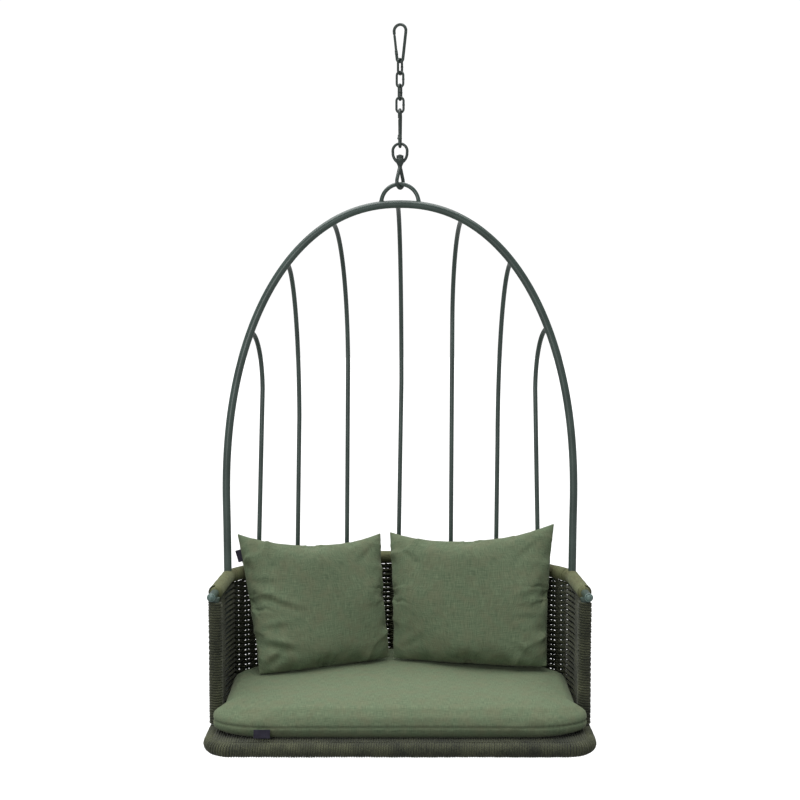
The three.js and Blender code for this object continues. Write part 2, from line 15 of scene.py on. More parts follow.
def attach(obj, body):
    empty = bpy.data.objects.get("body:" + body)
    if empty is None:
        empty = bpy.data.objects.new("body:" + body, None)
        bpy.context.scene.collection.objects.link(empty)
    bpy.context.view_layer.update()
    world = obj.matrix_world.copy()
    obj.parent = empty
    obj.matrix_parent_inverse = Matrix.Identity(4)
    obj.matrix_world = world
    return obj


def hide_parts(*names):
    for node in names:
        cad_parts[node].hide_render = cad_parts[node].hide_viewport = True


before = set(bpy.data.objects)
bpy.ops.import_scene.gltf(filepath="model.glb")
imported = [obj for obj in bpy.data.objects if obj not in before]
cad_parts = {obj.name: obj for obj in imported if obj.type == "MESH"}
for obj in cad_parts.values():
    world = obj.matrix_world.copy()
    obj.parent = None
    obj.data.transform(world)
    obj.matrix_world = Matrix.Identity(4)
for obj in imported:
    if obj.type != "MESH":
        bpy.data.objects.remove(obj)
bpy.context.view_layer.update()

MM = 0.001
BASE_UNDERSIDE = -2187.8  # height of the base's underside below the hanging point
TUBE = 12.5  # radius of the arch, arms, posts and rails
ROPE = 3.5  # radius of the rope


# ---- mesh helpers ---------------------------------------------------------------------------

def spread(steps, low=0.0, high=1.0):
    """Evenly spaced numbers, both ends included."""
    return [low + (high - low) * i / steps for i in range(steps + 1)]


def line_frames(stations, closed=False):
    """One matrix per station, with Z along the line and no twist from one to the next."""
    points = [Vector(p) for p in stations]
    last = len(points) - 1
    tangents = []
    for i, point in enumerate(points):
        back = points[i - 1] if i or closed else point
        ahead = points[(i + 1) % (last + 1)] if i < last or closed else point
        tangents.append(((point - back).normalized() + (ahead - point).normalized()).normalized())
    side = tangents[0].orthogonal().normalized()
    frames = []
    for point, along in zip(points, tangents):
        side = (side - along * side.dot(along)).normalized()
        turn = Matrix((side, along.cross(side), along)).transposed().to_4x4()
        frames.append(Matrix.Translation(point) @ turn)
    return frames


def sweep(bm, stations, radius, sides=20, closed=False):
    """A round bar: a circle pulled from station to station. radius may differ at each station."""
    frames = line_frames(stations, closed)
    radii = radius if isinstance(radius, list) else [radius] * len(frames)
    first = bmesh.ops.create_circle(bm, segments=sides, radius=radii[0], matrix=frames[0])["verts"]
    loop = list({edge for vert in first for edge in vert.link_edges})
    rings = [loop]
    for i in range(1, len(frames)):
        pulled = bmesh.ops.extrude_edge_only(bm, edges=loop)["geom"]
        verts = [part for part in pulled if isinstance(part, bmesh.types.BMVert)]
        fresh = set(verts)
        loop = [part for part in pulled
                if isinstance(part, bmesh.types.BMEdge) and fresh.issuperset(part.verts)]
        step = frames[i] @ Matrix.Scale(radii[i] / radii[i - 1], 4) @ frames[i - 1].inverted()
        bmesh.ops.transform(bm, matrix=step, verts=verts)
        rings.append(loop)
    if closed:
        bmesh.ops.bridge_loops(bm, edges=rings[0] + rings[-1])
    else:
        bmesh.ops.edgeloop_fill(bm, edges=rings[0])
        bmesh.ops.edgeloop_fill(bm, edges=rings[-1])


def turned(bm, profile, sides=32):
    """A turned solid about Z from (radius, height) pairs that start and end on the axis."""
    verts = [bm.verts.new((r, 0, z)) for r, z in profile]
    edges = [bm.edges.new(pair) for pair in zip(verts, verts[1:])]
    bmesh.ops.spin(bm, geom=verts + edges, cent=(0, 0, 0), axis=(0, 0, 1), angle=2 * math.pi,
                   steps=sides, use_merge=True)
    bmesh.ops.remove_doubles(bm, verts=bm.verts[:], dist=1e-4)


def settle(bm, name, drop=BASE_UNDERSIDE, sharp=40):
    """Makes the piece's object, in metres and in its place, smooth but for its real edges."""
    bmesh.ops.transform(bm, matrix=Matrix.Scale(MM, 4) @ Matrix.Translation((0, 0, drop)),
                        verts=bm.verts)
    bmesh.ops.recalc_face_normals(bm, faces=bm.faces)
    mesh = bpy.data.meshes.new(name)
    bm.to_mesh(mesh)
    bm.free()
    return show(mesh, name, sharp)


def show(mesh, name, sharp=40):
    mesh.shade_smooth()
    mesh.set_sharp_from_angle(angle=math.radians(sharp))
    piece = bpy.data.objects.new(name, mesh)
    bpy.context.collection.objects.link(piece)
    return piece


def evaluated(piece):
    """A new mesh of the object as its modifiers or its curve settings make it."""
    return bpy.data.meshes.new_from_object(
        piece.evaluated_get(bpy.context.evaluated_depsgraph_get()))


def belong(piece, material, slot, body, *nodes):
    """Gives the piece its material and the body it moves with, and hides the CAD nodes it stands for.
    slot is not used.
    """
    piece.data.materials.clear()
    piece.data.materials.append(material)
    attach(piece, body)
    if nodes:
        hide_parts(*nodes)


def tube(name, stations, radius, sides, *nodes, closed=False):
    """A bar of the painted frame, which may stand for CAD nodes."""
    bm = bmesh.new()
    sweep(bm, stations, radius, sides, closed)
    belong(settle(bm, name), FRAME_COAT, "frame_paint", "seat", *nodes)


def chain_piece(bm, name, body, cad_node):
    """Finishes a painted piece of the chain."""
    belong(settle(bm, name, 0), CHAIN_COAT, "chain_paint", body, cad_node)


def rope_piece(lines, name, radius=ROPE, resolution=1, drop=BASE_UNDERSIDE):
    """Rope laid along each line. Its mesh keeps the distance along the rope and the way round it."""
    curve = bpy.data.curves.new(name, "CURVE")
    curve.dimensions = "3D"
    curve.bevel_depth = radius * MM
    curve.bevel_resolution = resolution
    curve.use_fill_caps = True
    for points, closed in lines:
        spline = curve.splines.new("POLY")
        spline.points.add(len(points) - 1)
        spline.use_cyclic_u = closed
        flat = np.ones((len(points), 4))
        flat[:, :3] = (np.array(points) + (0, 0, drop)) * MM
        spline.points.foreach_set("co", flat.ravel())
    laid = bpy.data.objects.new(name, curve)
    bpy.context.collection.objects.link(laid)
    mesh = evaluated(laid)
    bpy.data.objects.remove(laid)
    bpy.data.curves.remove(curve)
    sides = 4 + 2 * resolution
    walk = []
    for points, closed in lines:
        steps = np.linalg.norm(np.diff(np.array(points), axis=0), axis=1)
        walk.append(np.repeat(np.concatenate([[0], np.cumsum(steps)]) * MM, sides))
    walk = np.concatenate(walk)
    around = np.arange(len(walk)) % sides * (2 * math.pi / sides)
    lay = np.zeros((len(mesh.vertices), 3), dtype=np.float32)
    lay[:len(walk)] = np.stack([walk, np.cos(around), np.sin(around)], axis=1)
    mesh.attributes.new("rope_lay", "FLOAT_VECTOR", "POINT").data.foreach_set("vector", lay.ravel())
    while mesh.uv_layers:
        mesh.uv_layers.remove(mesh.uv_layers[0])
    mesh.name = name
    return show(mesh, name, 80)


# ---- materials --------------------------------------------------------------------------------

def shade(code):
    """A linear colour from its sRGB hex code."""
    parts = [int(code[i:i + 2], 16) / 255 for i in (1, 3, 5)]
    return (*[c / 12.92 if c <= 0.04045 else ((c + 0.055) / 1.055) ** 2.4 for c in parts], 1)


def node(tree, kind, feeds=None, **settings):
    """Adds a shader node. feeds gives each socket its value, or the socket that leads into it."""
    made = tree.nodes.new("ShaderNode" + kind)
    for name, value in settings.items():
        setattr(made, name, value)
    for name, value in (feeds or {}).items():
        if isinstance(value, bpy.types.NodeSocket):
            tree.links.new(value, made.inputs[name])
        else:
            made.inputs[name].default_value = value
    return made


def new_material(name):
    material = bpy.data.materials.new(name)
    material.use_nodes = True
    tree = material.node_tree
    tree.nodes.clear()
    return material, tree


def powder_coat(name, deep, pale, rough):
    """Polyester powder coat baked on steel: satin, with a faint orange peel of about 2 mm and a
    soft sheen of light along each tube, a little paler and smoother in broad random patches."""
    material, tree = new_material(name)
    at = node(tree, "TexCoord").outputs["Object"]
    drift = node(tree, "TexNoise", {"Vector": at, "Scale": 9, "Detail": 3}).outputs["Fac"]
    speck = node(tree, "TexNoise", {"Vector": at, "Scale": 700, "Detail": 1}).outputs["Fac"]
    peel = node(tree, "TexNoise", {"Vector": at, "Scale": 480, "Detail": 2,
                                             "Roughness": 0.4}).outputs["Fac"]
    both = node(tree, "Math", {0: drift, 1: speck}, operation="ADD").outputs[0]
    mix = node(tree, "MapRange", {0: both, 1: 0.75, 2: 1.3}).outputs[0]
    colour = node(tree, "Mix", {0: mix, 6: shade(deep), 7: shade(pale)},
                  data_type="RGBA").outputs[2]
    gloss = node(tree, "MapRange", {0: drift, 1: 0.3, 2: 0.7, 3: rough + 0.06,
                                              4: rough - 0.05}).outputs[0]
    bump = node(tree, "Bump", {"Height": peel, "Strength": 0.12, "Distance": 0.0006})
    surface = node(tree, "BsdfPrincipled", {
        "Base Color": colour, "Roughness": gloss, "Metallic": 0.0, "IOR": 1.5,
        "Coat Weight": 0.25, "Coat Roughness": 0.2, "Normal": bump.outputs[0]})
    node(tree, "OutputMaterial", {"Surface": surface.outputs[0]})
    return material


def braided_rope(name, deep, pale):
    """Braided polyolefin rope: dull olive yarn in a criss-cross braid, with painted shade in the grooves
    between the strands.
    A strand is about 2 mm wide and is drawn 3 mm so that it shows."""
    material, tree = new_material(name)
    lay = node(tree, "Attribute", attribute_name="rope_lay").outputs["Vector"]
    split = node(tree, "SeparateXYZ", {0: lay})
    around = node(tree, "Math", {0: split.outputs[2], 1: split.outputs[1]},
                  operation="ARCTAN2").outputs[0]
    turns = node(tree, "Math", {0: around, 1: 3.0}, operation="MULTIPLY").outputs[0]
    along = node(tree, "Math", {0: split.outputs[0], 1: 2 * math.pi / 0.0048},
                 operation="MULTIPLY").outputs[0]
    waves = []
    for way in ("ADD", "SUBTRACT"):
        slant = node(tree, "Math", {0: along, 1: turns}, operation=way).outputs[0]
        waves.append(node(tree, "Math", {0: slant}, operation="SINE").outputs[0])
    strand = node(tree, "Math", {0: waves[0], 1: waves[1]}, operation="MAXIMUM").outputs[0]
    height = node(tree, "MapRange", {0: strand, 1: -0.6, 2: 1.0}).outputs[0]
    at = node(tree, "TexCoord").outputs["Object"]
    fuzz = node(tree, "TexNoise", {"Vector": at, "Scale": 260, "Detail": 3}).outputs["Fac"]
    fade = node(tree, "TexNoise", {"Vector": at, "Scale": 14, "Detail": 2}).outputs["Fac"]
    worn = node(tree, "Math", {0: fuzz, 1: fade}, operation="ADD").outputs[0]
    spread_tone = node(tree, "MapRange", {0: worn, 1: 0.7, 2: 1.35}).outputs[0]
    # the braid's height darkens the colour: painted shade in the grooves between the strands
    tone_and_groove_shade = node(tree, "Math", {0: spread_tone, 1: height}, operation="MULTIPLY").outputs[0]
    colour = node(tree, "Mix", {0: tone_and_groove_shade, 6: shade(deep), 7: shade(pale)},
                  data_type="RGBA").outputs[2]
    bump = node(tree, "Bump", {"Height": height, "Strength": 0.5, "Distance": 0.0008})
    surface = node(tree, "BsdfPrincipled", {
        "Base Color": colour, "Roughness": 0.82, "IOR": 1.5, "Specular IOR Level": 0.3,
        "Sheen Weight": 0.12, "Sheen Roughness": 0.5, "Normal": bump.outputs[0]})
    node(tree, "OutputMaterial", {"Surface": surface.outputs[0]})
    return material


def woven_cloth(name, deep, pale, fleck, thread, source, sheen):
    """Solution-dyed plain-weave cloth: matt, with heather flecks where single threads are paler or
    browner than the rest, and a fine crossed weave. thread is the spacing drawn, in metres."""
    material, tree = new_material(name)
    if source == "Object":
        at = node(tree, "TexCoord").outputs["Object"]
    else:
        at = node(tree, "UVMap", uv_map="cloth").outputs[0]
    tangle = node(tree, "TexCoord").outputs["Object"]
    split = node(tree, "SeparateXYZ", {0: at})
    waves = []
    for axis in (0, 1):
        pace = node(tree, "Math", {0: split.outputs[axis], 1: math.pi / thread},
                    operation="MULTIPLY").outputs[0]
        waves.append(node(tree, "Math", {0: pace}, operation="SINE").outputs[0])
    over = node(tree, "Math", {0: waves[0], 1: waves[1]}, operation="MULTIPLY").outputs[0]
    weave = node(tree, "MapRange", {0: over, 1: -1.0, 2: 1.0}).outputs[0]
    flecks = []
    for stretch in ((40, 600, 1), (600, 40, 1)):
        slub = node(tree, "Mapping", {"Vector": at, "Scale": stretch}).outputs[0]
        noise = node(tree, "TexNoise", {"Vector": slub, "Scale": 1.0, "Detail": 2})
        flecks.append(noise.outputs["Fac"])
    slubs = node(tree, "Math", {0: flecks[0], 1: flecks[1]}, operation="ADD").outputs[0]
    heather = node(tree, "MapRange", {0: slubs, 1: 0.7, 2: 1.3}).outputs[0]
    cloudy = node(tree, "TexNoise", {"Vector": tangle, "Scale": 22, "Detail": 3,
                                               "Roughness": 0.6}).outputs["Fac"]
    clouds = node(tree, "MapRange", {0: cloudy, 1: 0.42, 2: 0.68}).outputs[0]
    lit = node(tree, "Math", {0: heather, 1: weave, 2: 0.18}, operation="MULTIPLY_ADD")
    base = node(tree, "Mix", {0: heather, 6: shade(deep), 7: shade(pale)},
                data_type="RGBA").outputs[2]
    warm = node(tree, "Math", {0: clouds, 1: 0.35}, operation="MULTIPLY").outputs[0]
    colour = node(tree, "Mix", {0: warm, 6: base, 7: shade(fleck)},
                  data_type="RGBA").outputs[2]
    bump = node(tree, "Bump", {"Height": lit.outputs[0], "Strength": 0.25,
                                         "Distance": 0.0006})
    surface = node(tree, "BsdfPrincipled", {
        "Base Color": colour, "Roughness": 0.88, "IOR": 1.45, "Specular IOR Level": 0.25,
        "Sheen Weight": sheen, "Sheen Roughness": 0.45, "Sheen Tint": shade("#c9d2b8"),
        "Normal": bump.outputs[0]})
    node(tree, "OutputMaterial", {"Surface": surface.outputs[0]})
    return material


def moulded_plastic(name, deep, pale):
    """Moulded polypropylene of the tube's end caps, with a fine spark grain. It is coloured paler than
    the tube as painted light, for the caps' lit faces turned front and up.
    """
    material, tree = new_material(name)
    at = node(tree, "TexCoord").outputs["Object"]
    grain = node(tree, "TexNoise", {"Vector": at, "Scale": 900, "Detail": 2}).outputs["Fac"]
    colour = node(tree, "Mix", {0: grain, 6: shade(deep), 7: shade(pale)},
                  data_type="RGBA").outputs[2]
    bump = node(tree, "Bump", {"Height": grain, "Strength": 0.2, "Distance": 0.0003})
    surface = node(tree, "BsdfPrincipled", {
        "Base Color": colour, "Roughness": 0.45, "IOR": 1.49, "Normal": bump.outputs[0]})
    node(tree, "OutputMaterial", {"Surface": surface.outputs[0]})
    return material


FRAME_COAT = powder_coat("powder coated steel tube", "#36443f", "#4b5b55", 0.36)
CHAIN_COAT = powder_coat("powder coated chain steel", "#2e3a36", "#43504b", 0.42)
ROPE_YARN = braided_rope("braided polyolefin rope", "#20241a", "#63664b")
SLEEVE_CLOTH = woven_cloth("woven sleeve textile", "#4c5038", "#6d7150", "#5b5137", 0.0022,
                           "Object", 0.2)
CUSHION_CLOTH = woven_cloth("solution-dyed cushion cloth", "#4c5a45", "#6c7a5f", "#6a6650", 0.002,
                            "cloth", 0.25)
TAG_CLOTH = woven_cloth("woven tag ribbon", "#26242f", "#35333f", "#2d2b35", 0.001, "Object", 0.1)
# the caps' paler colour is painted light: the frame's colour as it looks lit on faces turned front and
# up
CAP_PLASTIC_WITH_PAINTED_LIGHT = moulded_plastic("moulded polypropylene cap", "#5b6f6a", "#6b7f79")

# ---- the arch, the ring and the back rods -----------------------------------------------------

ARCH_HALF, ARCH_WAIST, ARCH_RISE, ARCH_POWER = 559.4, 700, 933, 2.17
RAIL_Z = 437  # centre of the arms and the rear rail
LEG_FOOT = 556  # x of the arch's legs at the base
BASE_Z = 22


def arch_height(x):
    """Height of the arch's centreline above a place along its width."""
    return ARCH_WAIST + ARCH_RISE * (1 - abs(x / ARCH_HALF) ** ARCH_POWER) ** (1 / ARCH_POWER)


def arch_point(turn):
    across = math.copysign(abs(math.cos(turn)) ** (2 / ARCH_POWER), math.cos(turn))
    return (ARCH_HALF * across, 0, ARCH_WAIST + ARCH_RISE * math.sin(turn) ** (2 / ARCH_POWER))


right_leg = [(LEG_FOOT, 0, 38), (LEG_FOOT + 1, 0, RAIL_Z), (LEG_FOOT + 2, 0, 600)]
left_leg = [(-x, y, z) for x, y, z in reversed(right_leg)]
bow = [arch_point(math.pi * t) for t in spread(96)]
tube("arch", right_leg + bow + left_leg, TUBE, 28, "arch_tube")

RING_R, RING_BAR, RING_CENTRE = 59, 6.5, 1637
foot_turn = math.asin((arch_height(RING_R) - RING_CENTRE) / RING_R) + 0.02
ring = [(RING_R * math.cos(a), 0, RING_CENTRE + RING_R * math.sin(a))
        for a in spread(48, foot_turn, math.pi - foot_turn)]
flare = [3.5, 2.2, 1.2, 0.6, 0.2]  # the weld bead swells each foot of the ring
swell = [0.0] * (len(ring) - 2 * len(flare))
tube("ring", ring, [RING_BAR + f for f in flare + swell + flare[::-1]], 20, "hanging_ring")

# ---- the rear line, which the back rods, the rail, the base and the wall all follow ------------

RAIL_BEND = [Vector(p) for p in ((556.5, 0, 0), (480, 164, 0), (270, 333, 0), (0, 333, 0))]


def rail_bend(t):
    """A point of half the rear line, t from 0 at the arch's leg to 1 at the middle."""
    a, b, c, d = RAIL_BEND
    return a * (1 - t) ** 3 + b * 3 * t * (1 - t) ** 2 + c * 3 * t * t * (1 - t) + d * t ** 3


half = [rail_bend(t) for t in spread(600)]
half_x, half_y = [p.x for p in half], [p.y for p in half]
whole = half + [Vector((-p.x, p.y, 0)) for p in reversed(half[:-1])]
whole_x, whole_y = [p.x for p in whole], [p.y for p in whole]
walked = np.concatenate([[0], np.cumsum([(b - a).length for a, b in zip(whole, whole[1:])])])


def rear_point(t, z=0.0):
    """A point of the rear line by distance: t from 0 at the right leg to 1 at the left leg."""
    along = t * walked[-1]
    return Vector((float(np.interp(along, walked, whole_x)),
                   float(np.interp(along, walked, whole_y)), z))


def rear_across(t):
    """The level direction across the rear line there, pointing out of the seat."""
    ahead = (rear_point(min(t + 0.002, 1)) - rear_point(max(t - 0.002, 0))).normalized()
    return Vector((ahead.y, -ahead.x, 0))


def rear_y(x):
    """How far back the rear line is at a place along the seat's width."""
    return float(np.interp(-abs(x), [-v for v in half_x], half_y))


ROD = 7.5  # radius of a back rod
# x on the arch, at the end of the bend and at the rear rail, and the height the bend takes
RODS = [(-478, -453, -471, 190), (-361, -340, -349, 505), (-217, -178, -184, 477),
        (-8, 5, -5, 588), (198, 179, 176, 345), (356, 331, 328, 600), (473, 447, 461, 206)]
for number, (top, bent, foot, drop) in enumerate(RODS, 1):
    crown = arch_height(top)
    depth = rear_y(foot)
    line = []
    for a in spread(26, 0, math.pi / 2):
        back = math.sin(a)
        line.append((top + (bent - top) * back, depth * back, crown - drop * (1 - math.cos(a))))
    line = [p for p in line if p[1] > TUBE - 6]
    line = [(line[0][0], TUBE - 6, crown - 0.2)] + line + [(foot, depth, RAIL_Z + 8)]
    swell = [3.2, 2.2, 1.0] + [0.0] * (len(line) - 3)
    tube(f"back_rod_{number}", line, [ROD + f for f in swell], 18, f"back_rod_{number}")

# ---- rear rail, arms and posts ----------------------------------------------------------------

tube("rear_rail", [rear_point(t, RAIL_Z) for t in spread(72, 0.002, 0.998)], TUBE, 24, "rear_rail")

ARM_FRONT, ARM_BACK = Vector((568, -309, RAIL_Z)), Vector((556.5, 0, RAIL_Z))
POST_X, POST_Y = 560, -288
SLEEVE = 22  # radius of the padded sleeve
SLEEVE_FRONT = 0.767  # where the sleeve's open end is, as a part of the arm's length
SIDES = {"right": 1, "left": -1}


def handed(points, side):
    """The points as they are for the right side, mirrored for the left."""
    return [Vector((p[0] * side, p[1], p[2])) for p in points]


def arm_point(t):
    """A point of the right arm, t from 0 at the arch's leg to 1 at its front end."""
    return ARM_BACK.lerp(ARM_FRONT, t)


for where, side in SIDES.items():
    arm = [arm_point(0.02), arm_point(0.5), arm_point(1)]
    tube(f"arm_{where}", handed(arm, side), TUBE, 24, f"arm_tube_{where}")

    # the post's head is coped round the arm, with a weld bead under it
    post = [(POST_X, POST_Y, z) for z in (BASE_Z, 50, 400, 415, 420, 424, 427, 432)]
    bead = [0, 0, 0, 0, 0.6, 1.6, 2.4, 2.4]
    tube(f"front_post_{where}", handed(post, side), [TUBE + b for b in bead], 24,
         f"front_post_{where}")

    # a shallow domed cap with a groove where it meets the tube
    bm = bmesh.new()
    forward = (ARM_FRONT - ARM_BACK).normalized()
    cap = [(-1.2, 10.5), (-0.1, 11.2), (0.1, 12.6), (0.6, 13.0), (2.0, 13.0), (2.8, 12.3),
           (3.2, 11.0), (3.3, 9.6), (3.0, 9.2), (3.0, 3.0)]
    sweep(bm, handed([ARM_FRONT + forward * d for d, r in cap], side), [r for d, r in cap], 28)
    belong(settle(bm, f"end_cap_{where}", sharp=50), CAP_PLASTIC_WITH_PAINTED_LIGHT, "end_cap", "seat",
           f"rail_cap_{where}")

# ---- padded textile sleeves -------------------------------------------------------------------


def sleeve(name, stations, open_front=False):
    """A padded sleeve pulled over a tube, with soft slack along it. An open front has a rolled hem
    that turns in to a dark mouth round the tube."""
    line = [Vector(station) for station in stations]
    radii = [SLEEVE - 0.6 + 0.35 * math.sin(i * 0.9) + 0.25 * math.sin(i * 2.3 + 1)
             for i in range(len(line))]
    if open_front:
        ahead = (line[0] - line[1]).normalized()
        hem = [(-9, TUBE + 0.6), (-1.6, SLEEVE - 4.5), (-0.6, SLEEVE - 1.6), (-2.2, SLEEVE - 0.2),
               (-6, SLEEVE + 0.1), (-8, SLEEVE - 0.7)]
        line = [line[0] + ahead * d for d, _ in hem] + line[1:]
        radii = [r for _, r in hem] + radii[1:]
    bm = bmesh.new()
    sweep(bm, line, radii, 40)
    belong(settle(bm, name, sharp=55), SLEEVE_CLOTH, "sleeve_textile", "seat", name)


arm_line = [arm_point(t) for t in spread(22, SLEEVE_FRONT, 0.02)]
turn_line = [rear_point(t, RAIL_Z) for t in spread(3, 0.005, 0.02)]
for where, side in SIDES.items():
    sleeve(f"arm_sleeve_{where}", handed(arm_line + turn_line, side), True)
sleeve("rear_sleeve", [rear_point(t, RAIL_Z) for t in spread(80, 0.021, 0.979)])

# ---- base frame -------------------------------------------------------------------------------

BASE_HALF, BASE_FRONT, BASE_CORNER = 561, -466, 75
right_front = [(0, BASE_FRONT), (240, BASE_FRONT), (440, BASE_FRONT)]
right_front += [(BASE_HALF - BASE_CORNER + BASE_CORNER * math.sin(a),
                 BASE_FRONT + BASE_CORNER - BASE_CORNER * math.cos(a))
                for a in spread(14, 0, math.pi / 2)]
right_front += [(BASE_HALF, -200), (BASE_HALF - 1.5, -60)]
rear_plan = [tuple(rear_point(t))[:2] for t in spread(72, 0.008, 0.992)]
base_plan = right_front + rear_plan + [(-x, y) for x, y in reversed(right_front[1:])]
base_line = [(x, y, BASE_Z) for x, y in base_plan]

tube("base_rail", base_line, TUBE, 20, "base_rail", closed=True)

BARS_Y = (-190, 10, 205)
BAR = 6
for number, y in enumerate(BARS_Y, 1):
    reach = BASE_HALF - 4
    if y > 0:
        reach = float(np.interp(y, half_y, half_x)) - 4
    places = (-reach, -reach + 14, -reach + 20, 0, reach - 20, reach - 14, reach)
    weld = (2.6, 1.2, 0, 0, 0, 1.2, 2.6)
    tube(f"cross_bar_{number}", [(x, y, BASE_Z) for x in places], [BAR + w for w in weld], 16,
         f"cross_bar_{number}")

# ---- rope: base winding, deck, posts and walls ------------------------------------------------


def winding(line, closed, pitch, radius, steps):
    """A rope wound round a line, tight turn beside tight turn."""
    points = [Vector(p) for p in line] + ([Vector(line[0])] if closed else [])
    lengths = np.concatenate([[0], np.cumsum([(b - a).length for a, b in zip(points, points[1:])])])
    turns = round(lengths[-1] / pitch)
    count = turns * steps
    along = np.linspace(0, lengths[-1], count, endpoint=not closed)
    place = np.stack([np.interp(along, lengths, [p[k] for p in points]) for k in range(3)], axis=1)
    ahead = np.roll(place, -3, axis=0) - np.roll(place, 3, axis=0)
    if not closed:
        ahead[:3], ahead[-3:] = ahead[4], ahead[-5]
    ahead /= np.linalg.norm(ahead, axis=1)[:, None]
    up = np.tile([0.0, 0.0, 1.0], (count, 1))
    if abs(ahead[0][2]) > 0.9:
        up = np.tile([1.0, 0.0, 0.0], (count, 1))
    out = np.cross(ahead, up)
    out /= np.linalg.norm(out, axis=1)[:, None]
    up = np.cross(out, ahead)
    angle = np.arange(count) / steps * 2 * math.pi
    loose = radius + 0.35 * np.sin(along * 0.021) + 0.25 * np.sin(along * 0.13 + 2)
    ring = out * np.cos(angle)[:, None] + up * np.sin(angle)[:, None]
    return place + ring * loose[:, None]


WRAP = 22 - ROPE  # radius of the base winding's rope line
belong(rope_piece([(winding(base_line, True, 7.3, WRAP, 12), True)], "base_winding", ROPE + 0.4),
       ROPE_YARN, "rope", "seat", "base_wrap_front", "base_wrap_left", "base_wrap_right",
       "base_wrap_back")

DECK_EDGE, DECK_DIP = 42.5, BASE_Z + BAR + ROPE  # height at the rails and over the cross bars
DECK_PITCH, DECK_WHOLE = 7.3, 73  # ropes this far out run from front to back
deck_lines = []
for i in range(-DECK_WHOLE - 2, DECK_WHOLE + 3):
    x = i * DECK_PITCH
    front = BASE_FRONT + 6
    if abs(x) > BASE_HALF - BASE_CORNER:
        over = abs(x) - (BASE_HALF - BASE_CORNER)
        front += BASE_CORNER - math.sqrt(max(BASE_CORNER ** 2 - over ** 2, 0))
    back = max(rear_y(x) - 6, 30)
    if abs(i) > DECK_WHOLE:  # the outermost ropes only fill the front corners, before the posts
        back = POST_Y - 24
    stops = [(front, DECK_EDGE - 3), (front + 16, DECK_EDGE)]
    for y in BARS_Y:
        if y < back - 40:
            stops.append((y, DECK_DIP + 0.3))
    stops += [(back - 16, DECK_EDGE), (back, DECK_EDGE - 3)]
    ys, zs = [s[0] for s in stops], [s[1] for s in stops]
    span = [front, front + 8] + spread(16, front + 16, back - 16) + [back - 8, back]
    deck_lines.append(([(x, y, float(np.interp(y, ys, zs))) for y in span], False))
belong(rope_piece(deck_lines, "seat_deck", ROPE + 0.8), ROPE_YARN, "rope", "seat", "seat_deck")

WALL_LOW, ROW_PITCH, ROWS = 48.5, 8.2, 45
WALL_ROPE = 4.9  # the rows are pressed together, so their ropes bulge
STAKES = 27
STAKE = 4.0
HUG = TUBE + ROPE - 0.2  # how far a rope's line passes from the middle of a post or leg
PAST_STAKE = STAKE + WALL_ROPE - 1.6

for j in range(1, STAKES + 1):
    spot = rear_point(j / (STAKES + 1))
    nodes = [f"stake_{j // 2}"] if j % 2 == 0 else []
    tube(f"stake_{j}", [(spot.x, spot.y, z) for z in (27, 200, RAIL_Z - 6)], STAKE, 12, *nodes)


def wall_stops():
    """Plan points of the wall's line with the way out of the seat and the rope's side step there."""
    stops = [(Vector((POST_X, POST_Y, 0)), Vector((1, 0, 0)), -HUG)]
    stops.append((Vector((LEG_FOOT, 0, 0)), Vector((1, 0, 0)), HUG))
    for j in range(1, STAKES + 1):
        t = j / (STAKES + 1)
        stops.append((rear_point(t), rear_across(t) * -1, -PAST_STAKE if j % 2 else PAST_STAKE))
    stops.append((Vector((-LEG_FOOT, 0, 0)), Vector((-1, 0, 0)), HUG))
    stops.append((Vector((-POST_X, POST_Y, 0)), Vector((-1, 0, 0)), -HUG))
    return stops


def wall_row(flip, z, level):
    """One rope of the wall at a height, outside the first post where flip is 1 and inside at -1."""
    stops = wall_stops()
    points = []
    for i, (here, beyond) in enumerate(zip(stops, stops[1:])):
        long_run = i in (0, len(stops) - 2)
        steps = 16 if long_run else 8
        for s in range(steps):
            t = s / steps
            ease = 0.5 - 0.5 * math.cos(math.pi * t) ** 3  # the rows close up between the stakes
            step_out = here[2] * (1 - ease) + beyond[2] * ease
            if long_run:
                spot, out = here[0].lerp(beyond[0], t), here[1]
            else:
                u = max(0.0, min(1.0, (i - 1 + t) / (STAKES + 1)))
                spot, out = rear_point(u), rear_across(u) * -1
            points.append((spot.x + out.x * step_out * flip, spot.y + out.y * step_out * flip,
                           z + level(len(points))))
    end, out, step_out = stops[-1]
    points.append((end.x + out.x * step_out * flip, end.y, z))
    return points


rows = []
for k in range(ROWS):
    phase = 1.7 * k

    def level(i, phase=phase):
        return 0.35 * math.sin(i * 0.35 + phase) + 0.25 * math.sin(i * 1.1 + 2 * phase)

    rows.append((wall_row(1 if k % 2 else -1, WALL_LOW + ROW_PITCH * k, level), False))
belong(rope_piece(rows, "woven_wall", WALL_ROPE, 2), ROPE_YARN, "rope", "seat", "rear_weave",
       "side_weave_left", "side_weave_right")

for where, side in SIDES.items():
    post = handed([(POST_X, POST_Y, 46), (POST_X, POST_Y, 420)], side)
    belong(rope_piece([(winding(post, False, 8.0, TUBE + ROPE + 0.4, 14), False)],
                      f"post_winding_{where}", ROPE + 0.4), ROPE_YARN, "rope", "seat")

# ---- snap hooks -------------------------------------------------------------------------------

HOOK_BAR, HOOK_INNER, HOOK_WIDE, HOOK_NARROW = 4.75, 105.8, 20, 10
GATE_BAR, GATE_FOOT, GATE_HEAD, TONGUE, RIVET = 4, 16, 8, 2, 2
CHAIN_TURN = {"upper_hook": -22, "links": (56, -24, 70, 0), "lower_hook": 84, "bow": 0, "eye": 61}


def swing_into_place(bm, turn, height):
    """Turns a chain piece about the upright and lifts it to its height."""
    place = Matrix.Translation((0, 0, height)) @ Matrix.Rotation(math.radians(turn), 4, "Z")
    bmesh.ops.transform(bm, matrix=place, verts=bm.verts)


